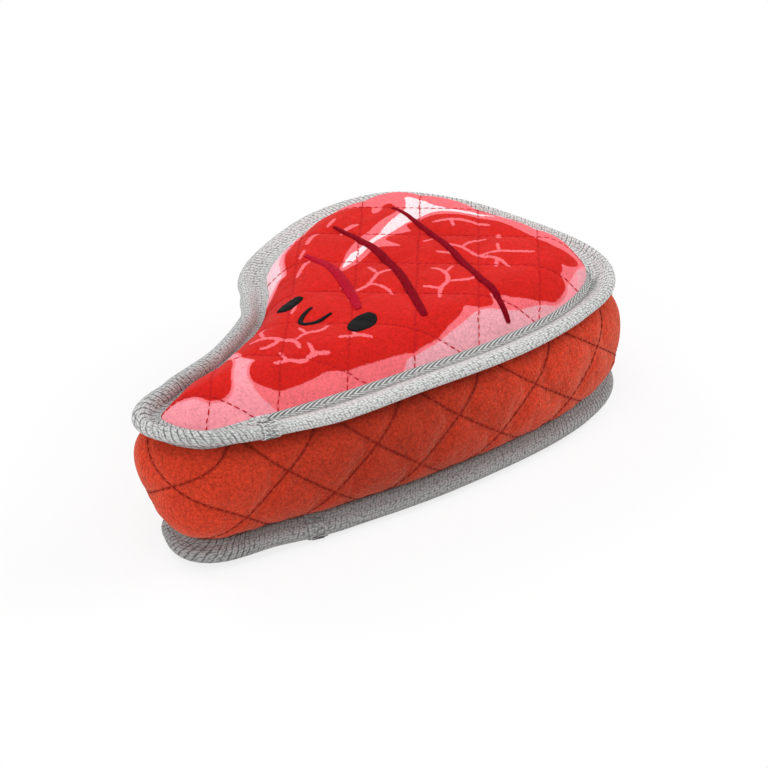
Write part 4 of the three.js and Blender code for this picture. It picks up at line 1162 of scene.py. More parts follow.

# Side band: rust-red plush quilted in diamonds, a long strip sewn round between the two panels
# with its allowances turned out at both edges. Light and shade are painted round it: darker along
# the middle of the front, lighter at the tail and round the lobe.
SIDE_PUFF = 2
SIDE_PUFF_LIMIT = 1.05
DIAMOND_STEPS = DIAMOND_ROWS * STATION_STEPS
RISING_PHASE = 10
FALLING_PHASE = 14
# Painted light and shade round the band: places round it in millimetres, and how light it is painted there
PAINTED_LIGHT_PLACES = (0, 25, 50, 75, 105, 130, 150, 190, 230, 300, 400, 500, 517)
PAINTED_LIGHT_LEVELS = (1.25, 1.2, 1.0, 0.82, 0.84, 1.0, 1.2, 1.25, 1.15, 1.0, 1.1, 1.25, 1.25)
PAINTED_LIGHT_RANGE = (0.6, 1.4)
KNIT_SHADE = 0.5
BAND_ROWS = 42
WAIST_STATION = 352
WAIST_REACH = 45
WAIST_DRAWN_IN = 2.4
LINING_SHARE = 0.25
BAND_PUFF_ROWS = 6
UNSTITCHED_ROWS = 2


def band_pillow(columns, rows):
    """Share of a diamond's puff at steps along and up the band."""
    rise = np.abs(np.sin(math.pi * (columns + rows - RISING_PHASE) / DIAMOND_STEPS))
    fall = np.abs(np.sin(math.pi * (columns - rows - FALLING_PHASE) / DIAMOND_STEPS))
    edge = smooth_share(np.minimum(rows, BAND_ROWS - rows), 0, BAND_PUFF_ROWS)
    return (rise * fall) ** PUFF_FULLNESS * edge


rust_plush, output = blank_material("rust plush")
tree = rust_plush.node_tree
# Painted shade along the diamonds' sunk stitch lines
nap = use_pile(tree, 0.45, 1.1, 0.75)
drawn = add_node(tree, "ShaderNodeMapping",
                 {"Vector": object_place(tree), "Scale": (1.0, 1.0, 0.6)}).outputs[0]
knit_ribs = speckle(tree, drawn, 1150.0, 2.0)
knit_height = math_node(tree, "MULTIPLY_ADD", knit_ribs, 0.9, nap.outputs["Height"])
knit_shade = math_node(tree, "MULTIPLY_ADD", knit_ribs, KNIT_SHADE,
                       math_node(tree, "SUBTRACT", nap.outputs["Shade"], KNIT_SHADE / 2))
# Painted light and shade: the stored share makes the pile lighter at the tail and lobe, darker along the
# front
painted_lighting = ranged(tree, field(tree, "painted_light"), *PAINTED_LIGHT_RANGE, *PAINTED_LIGHT_RANGE)
colour = shaded(tree, srgb(190, 54, 31), math_node(tree, "MULTIPLY", knit_shade, painted_lighting))
lay_surface(tree, output, colour, (knit_height, 0.8, 0.0008), {
    "Roughness": 0.9, "Specular IOR Level": 0.12, "Sheen Weight": 0.55, "Sheen Roughness": 0.4,
    "Sheen Tint": (1.0, 0.48, 0.34, 1.0)})

upper = [top_seam.at(section) for section in top_seam.turned_edge(top_seam.wall_ray, 1)]
lower = [bottom_seam.at(section) for section in bottom_seam.turned_edge(bottom_seam.wall_ray, 1)]
stations = np.arange(STATIONS)
puff_share = PUFF_HEAD_START
drawn_in = WAIST_DRAWN_IN * smooth_share(WAIST_REACH - np.abs(stations - WAIST_STATION), 0, WAIST_REACH)
face_rows = [wall_point(j / BAND_ROWS, SIDE_PUFF * puff_share * band_pillow(stations, j)
                        - drawn_in * bulge_at(j / BAND_ROWS) / WALL_BULGE) for j in range(1, BAND_ROWS)]
face_rows = np.stack([lower[0]] + face_rows + [upper[0]], 1)
face_count = BAND_ROWS + 1
band_columns = np.repeat(stations, face_count)
band_rows = np.tile(np.arange(face_count), STATIONS)
rising = (band_columns + band_rows - RISING_PHASE) % DIAMOND_STEPS
falling = (band_columns - band_rows - FALLING_PHASE) % DIAMOND_STEPS
held = (rising == 0) | (falling == 0) | (band_rows == 0) | (band_rows == BAND_ROWS)
faces = [face for k, face in enumerate(ring_faces(STATIONS, face_count)) if k % face_count != BAND_ROWS]
settled = blow_out(face_rows.reshape(-1, 3), faces, np.flatnonzero(held), SIDE_PUFF_LIMIT)
face_rows = settled.reshape(STATIONS, face_count, 3)
lining = [wall_point(share, -QUILT_THICKNESS) for share in (1 - LINING_SHARE, 0.5, LINING_SHARE)]
section = np.concatenate([
    face_rows, np.stack([upper[1], upper[2], upper[3]] + lining + [lower[3], lower[2], lower[1]], 1)], 1)
rows = section.shape[1]
side_band = new_piece("side_band_quilting", section.reshape(-1, 3), ring_faces(STATIONS, rows), rust_plush)
nearest = np.minimum(np.minimum(rising, DIAMOND_STEPS - rising), np.minimum(falling, DIAMOND_STEPS - falling))
distance = np.full((STATIONS, rows), FAR_OFF)
distance[:, :face_count] = (nearest * perimeter / STATIONS * math.sqrt(0.5)).reshape(STATIONS, -1)
add_values(side_band, "stitch", distance.ravel())
# Painted light and shade for each station round the band
around = stations / STATIONS * perimeter
painted_light = np.interp(around, PAINTED_LIGHT_PLACES, PAINTED_LIGHT_LEVELS)
add_values(side_band, "painted_light", np.repeat(painted_light, rows))
subdivide(side_band)
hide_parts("side_band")
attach(side_band, "toy")

# Quilting stitches of the side band: rust thread in two sets of slanting lines that cross in
# diamonds, each line sewn on the cloth from near one seam to near the other.
BAND_STITCH_SINK = 0.05
rust_thread = thread_material("rust thread", srgb(144, 30, 19), 0.9)
lines = []
side_surface = surface_over(side_band)
steps = np.arange(UNSTITCHED_ROWS, BAND_ROWS - UNSTITCHED_ROWS + 1)
for first in range(0, STATIONS, DIAMOND_STEPS):
    for column in (first + RISING_PHASE - steps, first + FALLING_PHASE + steps):
        line = []
        for point in face_rows[column % STATIONS, steps]:
            place, normal, _, _ = side_surface.find_nearest(Vector(in_metres(point)))
            line.append(np.array(place) * 1000 - PLAN_ORIGIN + np.array(normal) * BAND_STITCH_SINK)
        lines.append(np.array(line))
band_stitches = sewn("side_band_stitches", lines, rust_thread)
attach(band_stitches, "toy")

# Bottom panel: the side band's cloth again, quilted in squares like the top, its puffs pressed
# flat where the toy lies on them.
BOTTOM_PUFF = 2.2
BOTTOM_PUFF_LIMIT = 1.2


def bottom_height(flat, depth):
    """Height of the underside's outer face, never under the ground."""
    puff = BOTTOM_PUFF * pillow(flat, depth) * PUFF_HEAD_START
    return np.maximum(BOTTOM_SEAM - UNDERSIDE_SAG * swell(depth, UNDERSIDE_REACH) - puff, 0)


def bottom_lining(flat, depth):
    """Height of the underside's inner face."""
    return BOTTOM_SEAM - UNDERSIDE_SAG * swell(depth, 2 * UNDERSIDE_REACH) + thickness(depth)


bottom_panel = quilted_panel("bottom_panel_quilting", bottom_seam, bottom_height, bottom_lining, rust_plush,
                             BOTTOM_PUFF_LIMIT)
add_values(bottom_panel, "stitch", stitch_distance(mesh_points(bottom_panel), bottom_loop))
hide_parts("bottom_panel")
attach(bottom_panel, "toy")

bottom_surface = surface_over(bottom_panel)
lines = [drop(bottom_surface, line, 0.0, start=-40.0, towards=1) for line in quilting_lines(bottom_loop)]
bottom_stitches = sewn("bottom_panel_stitches", lines, rust_thread)
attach(bottom_stitches, "toy")

# Bindings: grey herringbone tape folded over the two allowances and stitched through beside its
# woven edge, so that the fold beyond stands out as a plump roll.
TAPE_SELVEDGE = 3.4
TAPE_WALL = 0.6
TAPE_FOLD_WALL = 0.9
SLOT_HALF = CLEARANCE / 2 + ALLOWANCE_THICKNESS + CLEARANCE
SLOT_END = TAPE_LENGTH - TAPE_FOLD_WALL
GROOVE_DEPTH = 0.3
GROOVE_HALF = 0.25
ROLL_ANGLES = (28, 55, 80, 100, 120, 140, 160, 174)
ROLL_ROOT = 1.2
ROLL_SQUARENESS = 0.8
HIDDEN_ROWS = 6
NOSE_BACK = 0.55
WOVEN_SHARES = (0, 0.35, 0.7)
GROOVE_ROWS = 2
WOVEN_LIFT = 0.1
OUTSIDE_ROWS = 2 * (len(WOVEN_SHARES) + GROOVE_ROWS + len(ROLL_ANGLES))
PLAIN_REACH = 5.0
RIB_HEIGHT = 0.1
RIB_SPACING = 2.0
PICK_SPACING = 0.85
GATHER_SEED = 5
GATHER_RUN = 6
GATHER_WINDOW = 25
GATHER_FULL_BEND = 0.12
GATHER_LEAST = 0.25
GATHER_UNEVEN = 0.35
TOP_JOIN = 38
BOTTOM_JOIN = 52
STRIP_END = 190
STRIP_FADE = 12
# Painted shade on the tapes: the lower tape darker all round, where the wall shades it, and the top tape
# darker round the tail at these stations
TOP_PAINTED_SHADE = 1.0
BOTTOM_PAINTED_SHADE = 0.53
PAINTED_SHADE_STATIONS = (0, 12, 36, 46, 320, 360, 400, 436, 450)
PAINTED_SHADES = (0.86, 0.84, 0.88, 1.0, 0.97, 0.93, 0.74, 0.72, 0.86)

# The tape's edge on the top panel, row by row: how far up the panel and how far off it, where the
# woven edge lies flat and shows, and where it is tucked in and plump
EDGE_START = 0.65
LAID_EDGE = ((0, 0.7), (0.45, 0.65), (0.95, 0.75), (2.25, 0.75), (2.6, 0.45), (2.6, 0.25), (-0.35, 0.3))
LAID_REACH = (3.4, 3.4, 2.6, 1.4, 1.0)
TUCKED_REACH = (1.0, 3.0)
PLUMP_EDGE = ((0.5, 1.5), (0.8, 1.3), (1.2, 1.2), (1.8, 0.9), (2.6, 0.45))
PLUMP_LEANS = (0.1, 0.9)
PLUMP_LEAST = 0.4

# Under the wall the lower tape's edge is further from the seam and fuller, row by row
LOWER_EDGE = ((0.4, 0.25), (0.3, 0.55), (0, 0.95), (0.15, 1.05))

webbing, output = blank_material("herringbone tape")
tree = webbing.node_tree
weave_place = add_node(tree, "ShaderNodeUVMap", uv_map="tape").outputs[0]
split = add_node(tree, "ShaderNodeSeparateXYZ", {0: weave_place})
along_tape = split.outputs["X"]
across_tape = split.outputs["Y"]
drift = speckle(tree, weave_place, 0.35, 1.0)
wavering = math_node(tree, "MULTIPLY_ADD", drift, 0.8, math_node(tree, "MULTIPLY", across_tape, 0.45))
slanted = math_node(tree, "ADD", along_tape, wavering)
cell_place = add_node(tree, "ShaderNodeCombineXYZ", {"X": math_node(tree, "DIVIDE", slanted, 1.15),
                      "Y": math_node(tree, "DIVIDE", across_tape, 0.95)}).outputs[0]
cells = add_node(tree, "ShaderNodeTexVoronoi", {"Vector": cell_place, "Scale": 1.0, "Randomness": 0.55},
                 voronoi_dimensions="2D").outputs["Distance"]
leaning = math_node(tree, "SUBTRACT", across_tape, math_node(tree, "MULTIPLY", along_tape, 0.3))
picks = math_node(tree, "SINE", math_node(tree, "MULTIPLY", leaning, 2 * math.pi / PICK_SPACING))
ribs = math_node(tree, "PINGPONG", math_node(tree, "DIVIDE", slanted, RIB_SPACING), 0.5)
rib_lines = ranged(tree, ribs, 0.0, 0.16, 1.0, 0.0, "SMOOTHSTEP")
rib_shade = math_node(tree, "MULTIPLY", rib_lines, math_node(tree, "MULTIPLY", field(tree, "gather"), -1.1))
fuzz = speckle(tree, object_place(tree), 1500.0, 3.0, 0.7)
reach = field(tree, "reach")
on_selvedge = ranged(tree, reach, TAPE_SELVEDGE - 0.3, TAPE_SELVEDGE + 0.1, 1.0, 0.0)
weave = math_node(tree, "SUBTRACT", 0.9, math_node(tree, "MULTIPLY", cells, 1.9))
lined = math_node(tree, "MULTIPLY_ADD", picks, 0.95, -0.2)
mixed_weave = add_node(tree, "ShaderNodeMix",
                       {0: on_selvedge, 2: weave, 3: lined}, data_type="FLOAT").outputs[0]
height = math_node(tree, "MULTIPLY_ADD", fuzz, 1.5, math_node(tree, "ADD", mixed_weave, rib_shade))
# Painted shade: darker in the groove beside the woven edge, and by each tape's stored painted shade
from_groove = math_node(tree, "ABSOLUTE", math_node(tree, "SUBTRACT", reach, TAPE_SELVEDGE))
groove_shade = ranged(tree, from_groove, 0.1, 0.6, 0.45, 1.0, "SMOOTHSTEP")
woven = ranged(tree, height, -0.3, 1.7, 0.3, 1.3, "SMOOTHSTEP")
shade = math_node(tree, "MULTIPLY", math_node(tree, "MULTIPLY", woven, groove_shade), field(tree, "painted_shade"))
lay_surface(tree, output, shaded(tree, srgb(212, 213, 212), shade), (height, 0.8, 0.0002), {
    "Roughness": 0.85, "Specular IOR Level": 0.25, "Sheen Weight": 0.15})

# How strongly the tape is gathered into ribs across it: most round the tail and the lobe
bend = np.abs(cross(top_out, np.roll(top_out, -GATHER_RUN, 0)))
window = np.ones(GATHER_WINDOW) / GATHER_WINDOW
mean_bend = np.convolve(np.tile(bend, 3), window, "same")[STATIONS:2 * STATIONS]
seam_gather = np.clip(mean_bend / GATHER_FULL_BEND, GATHER_LEAST, 1)
seam_gather *= 1 + GATHER_UNEVEN * np.random.default_rng(GATHER_SEED).uniform(-1, 1, STATIONS)


def slot_at(s):
    """Half of the room inside the fold, at a distance from the seam."""
    return SLOT_HALF * (1 - s / SLOT_END)


def tape_leg(begin):
    """One side of the folded tape from the seam to the fold: distances along and off the flange."""
    groove_floor = slot_at(TAPE_SELVEDGE) + TAPE_WALL - GROOVE_DEPTH
    leg_half = SLOT_HALF + TAPE_WALL
    nose = TAPE_LENGTH - TAPE_ROLL * NOSE_BACK
    leg = []
    for share in WOVEN_SHARES:
        s = begin + (TAPE_SELVEDGE - 0.5 - begin) * share
        leg.append((s, leg_half + (slot_at(TAPE_SELVEDGE) + TAPE_WALL - leg_half) * share + WOVEN_LIFT))
    leg.append((TAPE_SELVEDGE - GROOVE_HALF, groove_floor))
    leg.append((TAPE_SELVEDGE + GROOVE_HALF, groove_floor))
    for angle in np.radians(ROLL_ANGLES):
        if angle < math.pi / 2:
            s = nose - (nose - TAPE_SELVEDGE) * math.cos(angle)
            half = ROLL_ROOT + (TAPE_ROLL / 2 - ROLL_ROOT) * math.sin(angle) ** ROLL_SQUARENESS
        else:
            s = nose - (TAPE_LENGTH - nose) * math.cos(angle)
            half = TAPE_ROLL / 2 * math.sin(angle) ** ROLL_SQUARENESS
        leg.append((s, half))
    return leg, nose


def edge_rings(seam, steps, spread):
    """Rings of the tape's edge on the panel, at steps up along the panel and off it."""
    turn = cross(seam.panel_ray, seam.flange)
    corner = cross(-seam.across * (CLEARANCE / 2 + ALLOWANCE_THICKNESS), seam.flange) / turn
    slope = np.maximum(np.abs(turn), 0.6)
    made = []
    for up, off in steps:
        along = corner + EDGE_START / slope + up * spread
        made.append(seam.at(seam.panel_ray * along[:, None] + seam.flange * (off / slope)[:, None]))
    return made


def binding(name, seam, node, painted_shade):
    """A seam's folded tape as a closed ring, and its rings of points before they are smoothed."""
    puffed = seam.wall_ray.copy()
    puffed[:, 0] += SIDE_PUFF / (WALL_HEIGHT / DIAMOND_ROWS) / 2
    wall_turn = np.abs(math.pi - np.arctan2(puffed[:, 0], -puffed[:, 1]) - seam.lean)
    panel_turn = seam.lean + np.arctan2(-seam.panel_ray[:, 0], seam.panel_ray[:, 1])
    wall_start = np.maximum((SLOT_HALF + TAPE_WALL) / np.tan(wall_turn), 0) + CLEARANCE
    panel_start = np.maximum((SLOT_HALF + TAPE_WALL) / np.tan(panel_turn), 0) + CLEARANCE
    wall_leg, nose = tape_leg(wall_start)
    panel_leg, nose = tape_leg(panel_start)
    if not seam.is_top:
        for row, (further, fuller) in enumerate(LOWER_EDGE, 1):
            wall_leg[row] = (wall_leg[row][0] + further, wall_leg[row][1] + fuller)
    profile = wall_leg + [(s, -half) for s, half in panel_leg[::-1]]
    profile += [(panel_start, -slot_at(panel_start)), (SLOT_END, 0), (wall_start, slot_at(wall_start))]
    rings = []
    legs = []
    gather = np.where(stations % 2 == 0, 1, -1) * RIB_HEIGHT * seam_gather
    for k, (s, off) in enumerate(profile):
        s = np.broadcast_to(s, STATIONS)
        off = np.broadcast_to(off, STATIONS)
        legs.append(s)
        if k < OUTSIDE_ROWS:
            puckered = gather * smooth_share(s, TAPE_SELVEDGE, TAPE_SELVEDGE + 2)
            s = s + puckered * (s > nose)
            off = off + puckered * np.sign(off) * (s <= nose)
        rings.append(seam.at(seam.flange * s[:, None] + seam.across * off[:, None]))
    if seam.is_top:
        laid = edge_rings(seam, LAID_EDGE, 1)
        spread = PLUMP_LEAST + (1 - PLUMP_LEAST) * smooth_share(seam.lean, *PLUMP_LEANS)
        plump = edge_rings(seam, PLUMP_EDGE, spread)
        shown = smooth_share(stations, TOP_JOIN - 1, TOP_JOIN + 3)
        shown = shown * smooth_share(STRIP_END - stations, 0, STRIP_FADE)
        edge_row = OUTSIDE_ROWS - len(PLUMP_EDGE)
        edge = [a * shown[:, None] + b * (1 - shown[:, None]) for a, b in zip(laid, plump)]
        edge_reach = [reach * shown + PLAIN_REACH * (1 - shown) for reach in LAID_REACH]
        tucked_reach = [np.full(STATIONS, reach) for reach in TUCKED_REACH]
        rings[edge_row:OUTSIDE_ROWS + 1] = edge + laid[len(PLUMP_EDGE):]
        legs[edge_row:OUTSIDE_ROWS + 1] = edge_reach + tucked_reach
    else:
        legs[:HIDDEN_ROWS] = [np.full(STATIONS, PLAIN_REACH)] * HIDDEN_ROWS
    rings = np.stack(rings, 1)
    rows = rings.shape[1]
    faces = ring_faces(STATIONS, rows)
    if not seam.is_top:
        faces = [face[::-1] for face in faces]
    piece = new_piece(name, rings.reshape(-1, 3), faces, webbing)
    add_values(piece, "reach", np.stack(legs, 1).ravel())
    add_values(piece, "gather", np.repeat(np.abs(seam_gather), rows))
    # Painted shade along the top tape, darkest round the tail
    shade_round_tape = np.interp(stations, PAINTED_SHADE_STATIONS, PAINTED_SHADES) if seam.is_top else np.ones(STATIONS)
    add_values(piece, "painted_shade", np.repeat(painted_shade * shade_round_tape, rows))
    across = np.concatenate([[0], np.cumsum(np.linalg.norm(np.diff(rings[0], axis=0), axis=1))])
    across = np.append(across, across[-1] + 1)
    layer = piece.data.uv_layers.new(name="tape")
    values = []
    for polygon in piece.data.polygons:
        i, j = divmod(polygon.index, rows)
        for corner in polygon.vertices:
            station, row = divmod(corner, rows)
            around = STATIONS if station == 0 and i == STATIONS - 1 else station
            up = across[rows] if row == 0 and j == rows - 1 else across[row]
            values += [around * perimeter / STATIONS, up]
    layer.data.foreach_set("uv", values)
    work = bmesh.new()
    work.from_mesh(piece.data)
    if work.calc_volume(signed=True) < 0:
        bmesh.ops.reverse_faces(work, faces=work.faces[:])
    work.to_mesh(piece.data)
    work.free()
    subdivide(piece)
    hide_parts(node)
    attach(piece, "toy")
    return rings


top_rings = binding("top_binding_tape", top_seam, "top_binding", TOP_PAINTED_SHADE)
bottom_rings = binding("bottom_binding_tape", bottom_seam, "bottom_binding", BOTTOM_PAINTED_SHADE)

# Binding stitches: grey thread in the groove beside each tape's woven edge, and on the top panel
# along the edge that shows there. Each row goes through both sides of the tape and the allowances.
grey_thread = thread_material("grey thread", srgb(120, 116, 117), 0.75)
STITCHED_ROW = 22
for name, seam, side in (("top_binding_stitches", top_seam, 1), ("bottom_binding_stitches", bottom_seam, -1)):
    off = side * (slot_at(TAPE_SELVEDGE) + TAPE_WALL)
    lines = [seam.at(seam.flange * TAPE_SELVEDGE + seam.across * off)]
    if seam.is_top:
        lines.append(top_rings[TOP_JOIN + 2:STRIP_END, STITCHED_ROW])
    tape_stitches = sewn(name, lines, grey_thread)
    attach(tape_stitches, "toy")

# Laps: where each tape's end is laid over its start at the front, one more layer of the same tape,
# cut ragged at both ends and held down by a zigzag of grey thread.
LAP_STATIONS = 6
LAP_OUTER = 0.5
LAP_INNER = 0.1
LAP_RAGGED = 0.35
LAP_THREAD = 0.35
LAP_GATHER = 0.2
LAP_WEAVE = (1.15, 0.9)
LAP_WEAVE_START = 0.6


def tape_lap(name, rings, first, painted_shade):
    """A layer of tape over a few stations of a binding, from the first of them."""
    around = rings[first:first + LAP_STATIONS + 1, :OUTSIDE_ROWS]
    lifted = unit(around - around.mean(1, keepdims=True))
    ragged = np.random.default_rng(first).uniform(-LAP_RAGGED, LAP_RAGGED, (2, OUTSIDE_ROWS))
    along = unit(around[-1].mean(0) - around[0].mean(0))
    ahead = np.zeros(around.shape)
    ahead[0] = along * ragged[0][:, None]
    ahead[-1] = along * ragged[1][:, None]
    outer = around + lifted * LAP_OUTER + ahead
    inner = around + lifted * LAP_INNER + ahead
    section = np.concatenate([outer, inner[:, ::-1]], 1)
    rows = section.shape[1]
    faces = [face for face in ring_faces(LAP_STATIONS + 1, rows) if face[0] // rows != LAP_STATIONS]
    for start in (0, LAP_STATIONS * rows):
        faces += [[start + j, start + j + 1, start + rows - 2 - j, start + rows - 1 - j]
                  for j in range(OUTSIDE_ROWS - 1)]
    piece = new_piece(name, section.reshape(-1, 3), faces, webbing)
    normals_outwards(piece)
    for label, value in (("reach", PLAIN_REACH), ("gather", LAP_GATHER), ("painted_shade", painted_shade)):
        add_values(piece, label, np.full(len(section) * rows, value))
    layer = piece.data.uv_layers.new(name="tape")
    corners = np.array([loop.vertex_index for loop in piece.data.loops])
    flat = np.stack([corners // rows * LAP_WEAVE[0] + LAP_WEAVE_START, corners % rows * LAP_WEAVE[1]], 1)
    layer.data.foreach_set("uv", flat.ravel())
    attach(piece, "toy")
    zigzag = [outer[1 if j % 2 else LAP_STATIONS - 1, j] + lifted[1, j] * LAP_INNER
              for j in range(3, OUTSIDE_ROWS - 2)]
    threads = grow(name + "_threads", [np.array(zigzag)], satin_threads, Thread=LAP_THREAD / 1000,
                   Finish=grey_thread)
    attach(threads, "toy")


# The laps carry painted shade like their tapes, the lower one darker
tape_lap("top_binding_lap", top_rings, TOP_JOIN - 4, 0.95)
tape_lap("bottom_binding_lap", bottom_rings, BOTTOM_JOIN - 3, 0.56)

# Fibre filling: white polyester fibre, teased out and lumpy, stuffed in by hand in two handfuls, one
# under the squeaker and one over it.
FIBRE_VOXEL = 0.0025
LUMP_DEPTH = 1.4
LUMP_SIZE = 7.0
FINE_LUMP_SIZE = 3.0
FINE_LUMP_SHARE = 0.35

fibre, output = blank_material("polyester fibre")
tree = fibre.node_tree
strands = speckle(tree, object_place(tree), 420.0, 5.0, distortion=2.5)
shade = ranged(tree, strands, 0.3, 0.7, 0.85, 1.05)
lay_surface(tree, output, shaded(tree, srgb(241, 239, 233), shade), (strands, 0.8, 0.0015), {
    "Roughness": 0.95, "Sheen Weight": 0.3})


def noise_of(points, scale, seed):
    """Smooth noise at each point, whose swellings are about a scale apart."""
    return np.array([noise.noise(Vector(p) / scale + Vector((seed, 0, 0))) for p in points])


for node_name in ("fibre_fill_lower", "fibre_fill_upper"):
    mesh = frame["nodes"][node_name].data.copy()
    work = bmesh.new()
    work.from_mesh(mesh)
    bmesh.ops.remove_doubles(work, verts=work.verts[:], dist=1e-5)
    work.to_mesh(mesh)
    work.free()
    handful = bpy.data.objects.new(node_name + "_handful", mesh)
    scene.collection.objects.link(handful)
    remesher = handful.modifiers.new("voxels", "REMESH")
    remesher.mode = "VOXEL"
    remesher.voxel_size = FIBRE_VOXEL
    apply_modifiers(handful)
    points = mesh_points(handful)
    normals = np.empty(len(points) * 3)
    handful.data.vertices.foreach_get("normal", normals)
    lumps = 0.5 + 0.5 * noise_of(points, LUMP_SIZE, 3.0)
    lumps = lumps + FINE_LUMP_SHARE * noise_of(points, FINE_LUMP_SIZE, 8.0)
    points = points - normals.reshape(-1, 3) * np.clip(lumps, 0, LUMP_DEPTH)[:, None]
    handful.data.vertices.foreach_set("co", in_metres(points).ravel())
    handful.data.materials.clear()
    handful.data.materials.append(fibre)
    handful.data.shade_smooth()
    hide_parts(node_name)
    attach(handful, "toy")

# Backings: thin unwoven cloth behind each quilted layer, which keeps its wadding in. Two are cut
# to the panels and lie between them and the fibre, and the third is a strip sewn into a ring.
BACKING_THICKNESS = 0.5
BACKING_INSET = 5
BACKING_LOOSENESS = 0.8
BACKING_STEPS = 4
BACKING_SHARE = 1 / 7

unwoven, output = blank_material("unwoven backing")
tree = unwoven.node_tree
place = object_place(tree)
strands = speckle(tree, place, 500.0, 4.0, distortion=1.5)
dimples = add_node(tree, "ShaderNodeTexVoronoi", {"Vector": place, "Scale": 700.0}).outputs["Distance"]
height = math_node(tree, "MULTIPLY_ADD", dimples, 0.5, strands)
shade = ranged(tree, height, 0.3, 0.9, 0.86, 1.05)
lay_surface(tree, output, shaded(tree, srgb(218, 214, 202), shade), (height, 0.5, 0.0003), {
    "Roughness": 0.95})


def panel_backing(name, node, seam, height, towards):
    """Cloth a clearance behind a panel's inner face, as a shell with a closed rim."""
    flat_points, faces, _ = quilted_grid(seam.loop - seam.out * BACKING_INSET, BACKING_STEPS)
    level = height(flat_points, edge_depth(flat_points, seam.loop)) + towards * CLEARANCE
    near = np.concatenate([flat_points, level[:, None]], 1)
    far = near + [0, 0, towards * BACKING_THICKNESS]
    total = len(near)
    shell = faces + [[total + k for k in face[::-1]] for face in faces]
    for k in range(STATIONS):
        up = (k + 1) % STATIONS
        shell.append([up, k, total + k, total + up])
    if towards > 0:
        shell = [face[::-1] for face in shell]
    piece = new_piece(name, np.concatenate([near, far]), shell, unwoven)
    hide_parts(node)
    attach(piece, "toy")


panel_backing("top_backing_cloth", "top_backing", top_seam, top_lining, -1)
panel_backing("bottom_backing_cloth", "bottom_backing", bottom_seam, bottom_lining, 1)

middle = bulge_at(LINING_SHARE) - QUILT_THICKNESS - BACKING_LOOSENESS
strip_shares = (BACKING_SHARE, LINING_SHARE, 0.5, 1 - LINING_SHARE, 1 - BACKING_SHARE)
strip_offsets = (-BACKING_LOOSENESS, middle, middle, middle, -BACKING_LOOSENESS)
outer = [wall_point(share, offset - bulge_at(share)) for share, offset in zip(strip_shares, strip_offsets)]
inner = [wall_point(share, offset - bulge_at(share) - BACKING_THICKNESS)
         for share, offset in zip(strip_shares, strip_offsets)]
section = np.stack(outer + inner[::-1], 1)
side_backing = new_piece("side_backing_cloth", section.reshape(-1, 3),
                         ring_faces(STATIONS, section.shape[1]), unwoven)
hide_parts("side_backing")
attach(side_backing, "toy")

# Squeaker: a blow-moulded bellows of soft milky plastic with one rounded pleat round it and a neck
# for the reed's plug. The fibre holds it in the middle of the lobe.
BELLOWS_RADIUS = 20
BELLOWS_WAIST_RADIUS = 16.5
BELLOWS_SHOULDER_RADIUS = 12
BELLOWS_HALF = 10.5
BELLOWS_WALL = 1.2
BELLOWS_PLEAT = 4
NECK_RADIUS = 8.6
NECK_TOP = 14.5
SQUEAKER_PLACE = np.array([0.17 * SEAM_LENGTH, 0.21 * SEAM_WIDTH, BOTTOM_SEAM + WALL_HEIGHT / 2])
TURNED_SEGMENTS = 96
POLISH_VARIES = 0.08


def plastic(name, colour, roughness, grain, relief, see_through):
    """Moulded plastic with faint flow marks."""
    material, output = blank_material(name)
    tree = material.node_tree
    marks = speckle(tree, object_place(tree), grain, 3.0, distortion=1.0)
    shade = ranged(tree, marks, 0.3, 0.7, 0.92, 1.04)
    rough = ranged(tree, marks, 0.0, 1.0, roughness - POLISH_VARIES, roughness + POLISH_VARIES)
    lay_surface(tree, output, shaded(tree, colour, shade), (marks, 0.3, relief), {
        "Roughness": rough, "Transmission Weight": see_through})
    return material


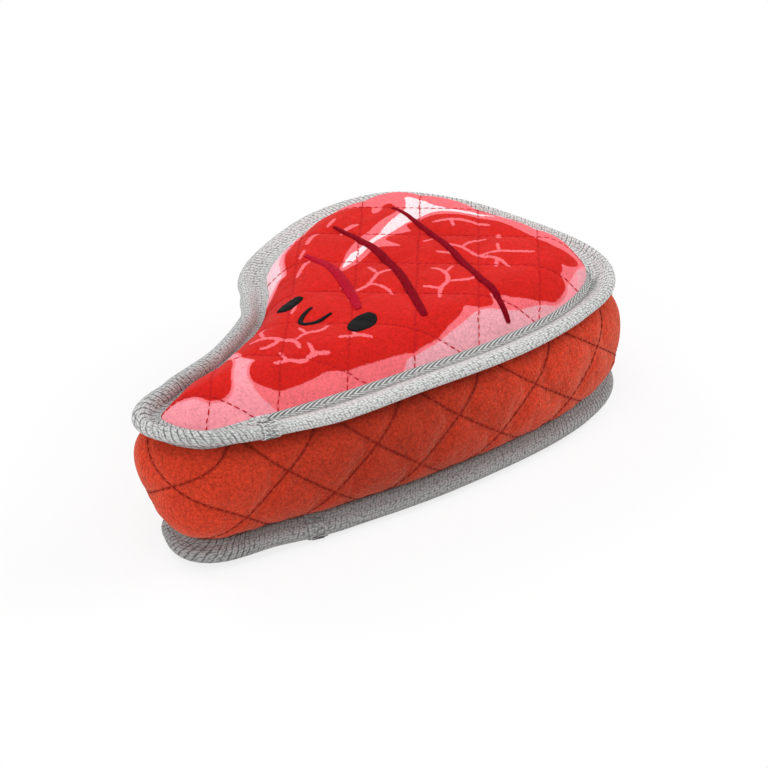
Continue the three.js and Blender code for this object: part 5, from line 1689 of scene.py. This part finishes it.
def bellows_wall(inset):
    """Half section of the bellows from its bottom to its neck, rounded and drawn in by a wall."""
    widest = BELLOWS_RADIUS - inset
    shoulder = BELLOWS_SHOULDER_RADIUS - inset / 2
    neck = NECK_RADIUS - inset
    corners = np.array([
        (0, -BELLOWS_HALF + inset), (shoulder, -BELLOWS_HALF + inset), (widest, -BELLOWS_PLEAT - inset / 2),
        (widest, -BELLOWS_PLEAT + inset / 2), (BELLOWS_WAIST_RADIUS - inset, 0),
        (widest, BELLOWS_PLEAT - inset / 2), (widest, BELLOWS_PLEAT + inset / 2),
        (shoulder, BELLOWS_HALF - inset), (neck, BELLOWS_HALF - inset), (neck, NECK_TOP),
    ], float)
    return eased(eased(corners))


profile = np.concatenate([bellows_wall(0)[1:], bellows_wall(BELLOWS_WALL)[:0:-1]])
turns = np.linspace(0, 2 * math.pi, TURNED_SEGMENTS, endpoint=False)
rings = np.stack([
    np.cos(turns)[:, None] * profile[:, 0], np.sin(turns)[:, None] * profile[:, 0],
    np.broadcast_to(profile[:, 1], (TURNED_SEGMENTS, len(profile))),
], 2)
rows = len(profile)
faces = [face for face in ring_faces(TURNED_SEGMENTS, rows) if face[0] % rows != rows - 1]
poles = [(0, 0, -BELLOWS_HALF), (0, 0, -BELLOWS_HALF + BELLOWS_WALL)]
total = TURNED_SEGMENTS * rows
for k in range(TURNED_SEGMENTS):
    ahead = (k + 1) % TURNED_SEGMENTS
    faces.append([total, ahead * rows, k * rows])
    faces.append([total + 1, k * rows + rows - 1, ahead * rows + rows - 1])
points = np.concatenate([rings.reshape(-1, 3), poles]) + SQUEAKER_PLACE
milky = plastic("milky soft plastic", srgb(240, 237, 226), 0.45, 60.0, 0.0002, 0.15)
bellows = new_piece("squeaker_bellows_moulding", points, faces, milky)
normals_outwards(bellows)
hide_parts("squeaker_bellows")
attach(bellows, "toy")
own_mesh(bellows)

# Reed: a hard white plug moulded with its bed, and a thin film tongue that flutters against it. They
# are pressed into the bellows' neck, and keep the shapes of their own solids.
hard_white = plastic("hard white plastic", srgb(243, 243, 243), 0.35, 90.0, 0.0001, 0.0)
reed_film = plastic("reed film", srgb(214, 221, 222), 0.25, 140.0, 0.00005, 0.3)
for node_name, finish in (("reed_plug", hard_white), ("reed_bed", hard_white), ("reed_tongue", reed_film)):
    frame["nodes"][node_name].material_slots[0].material = finish
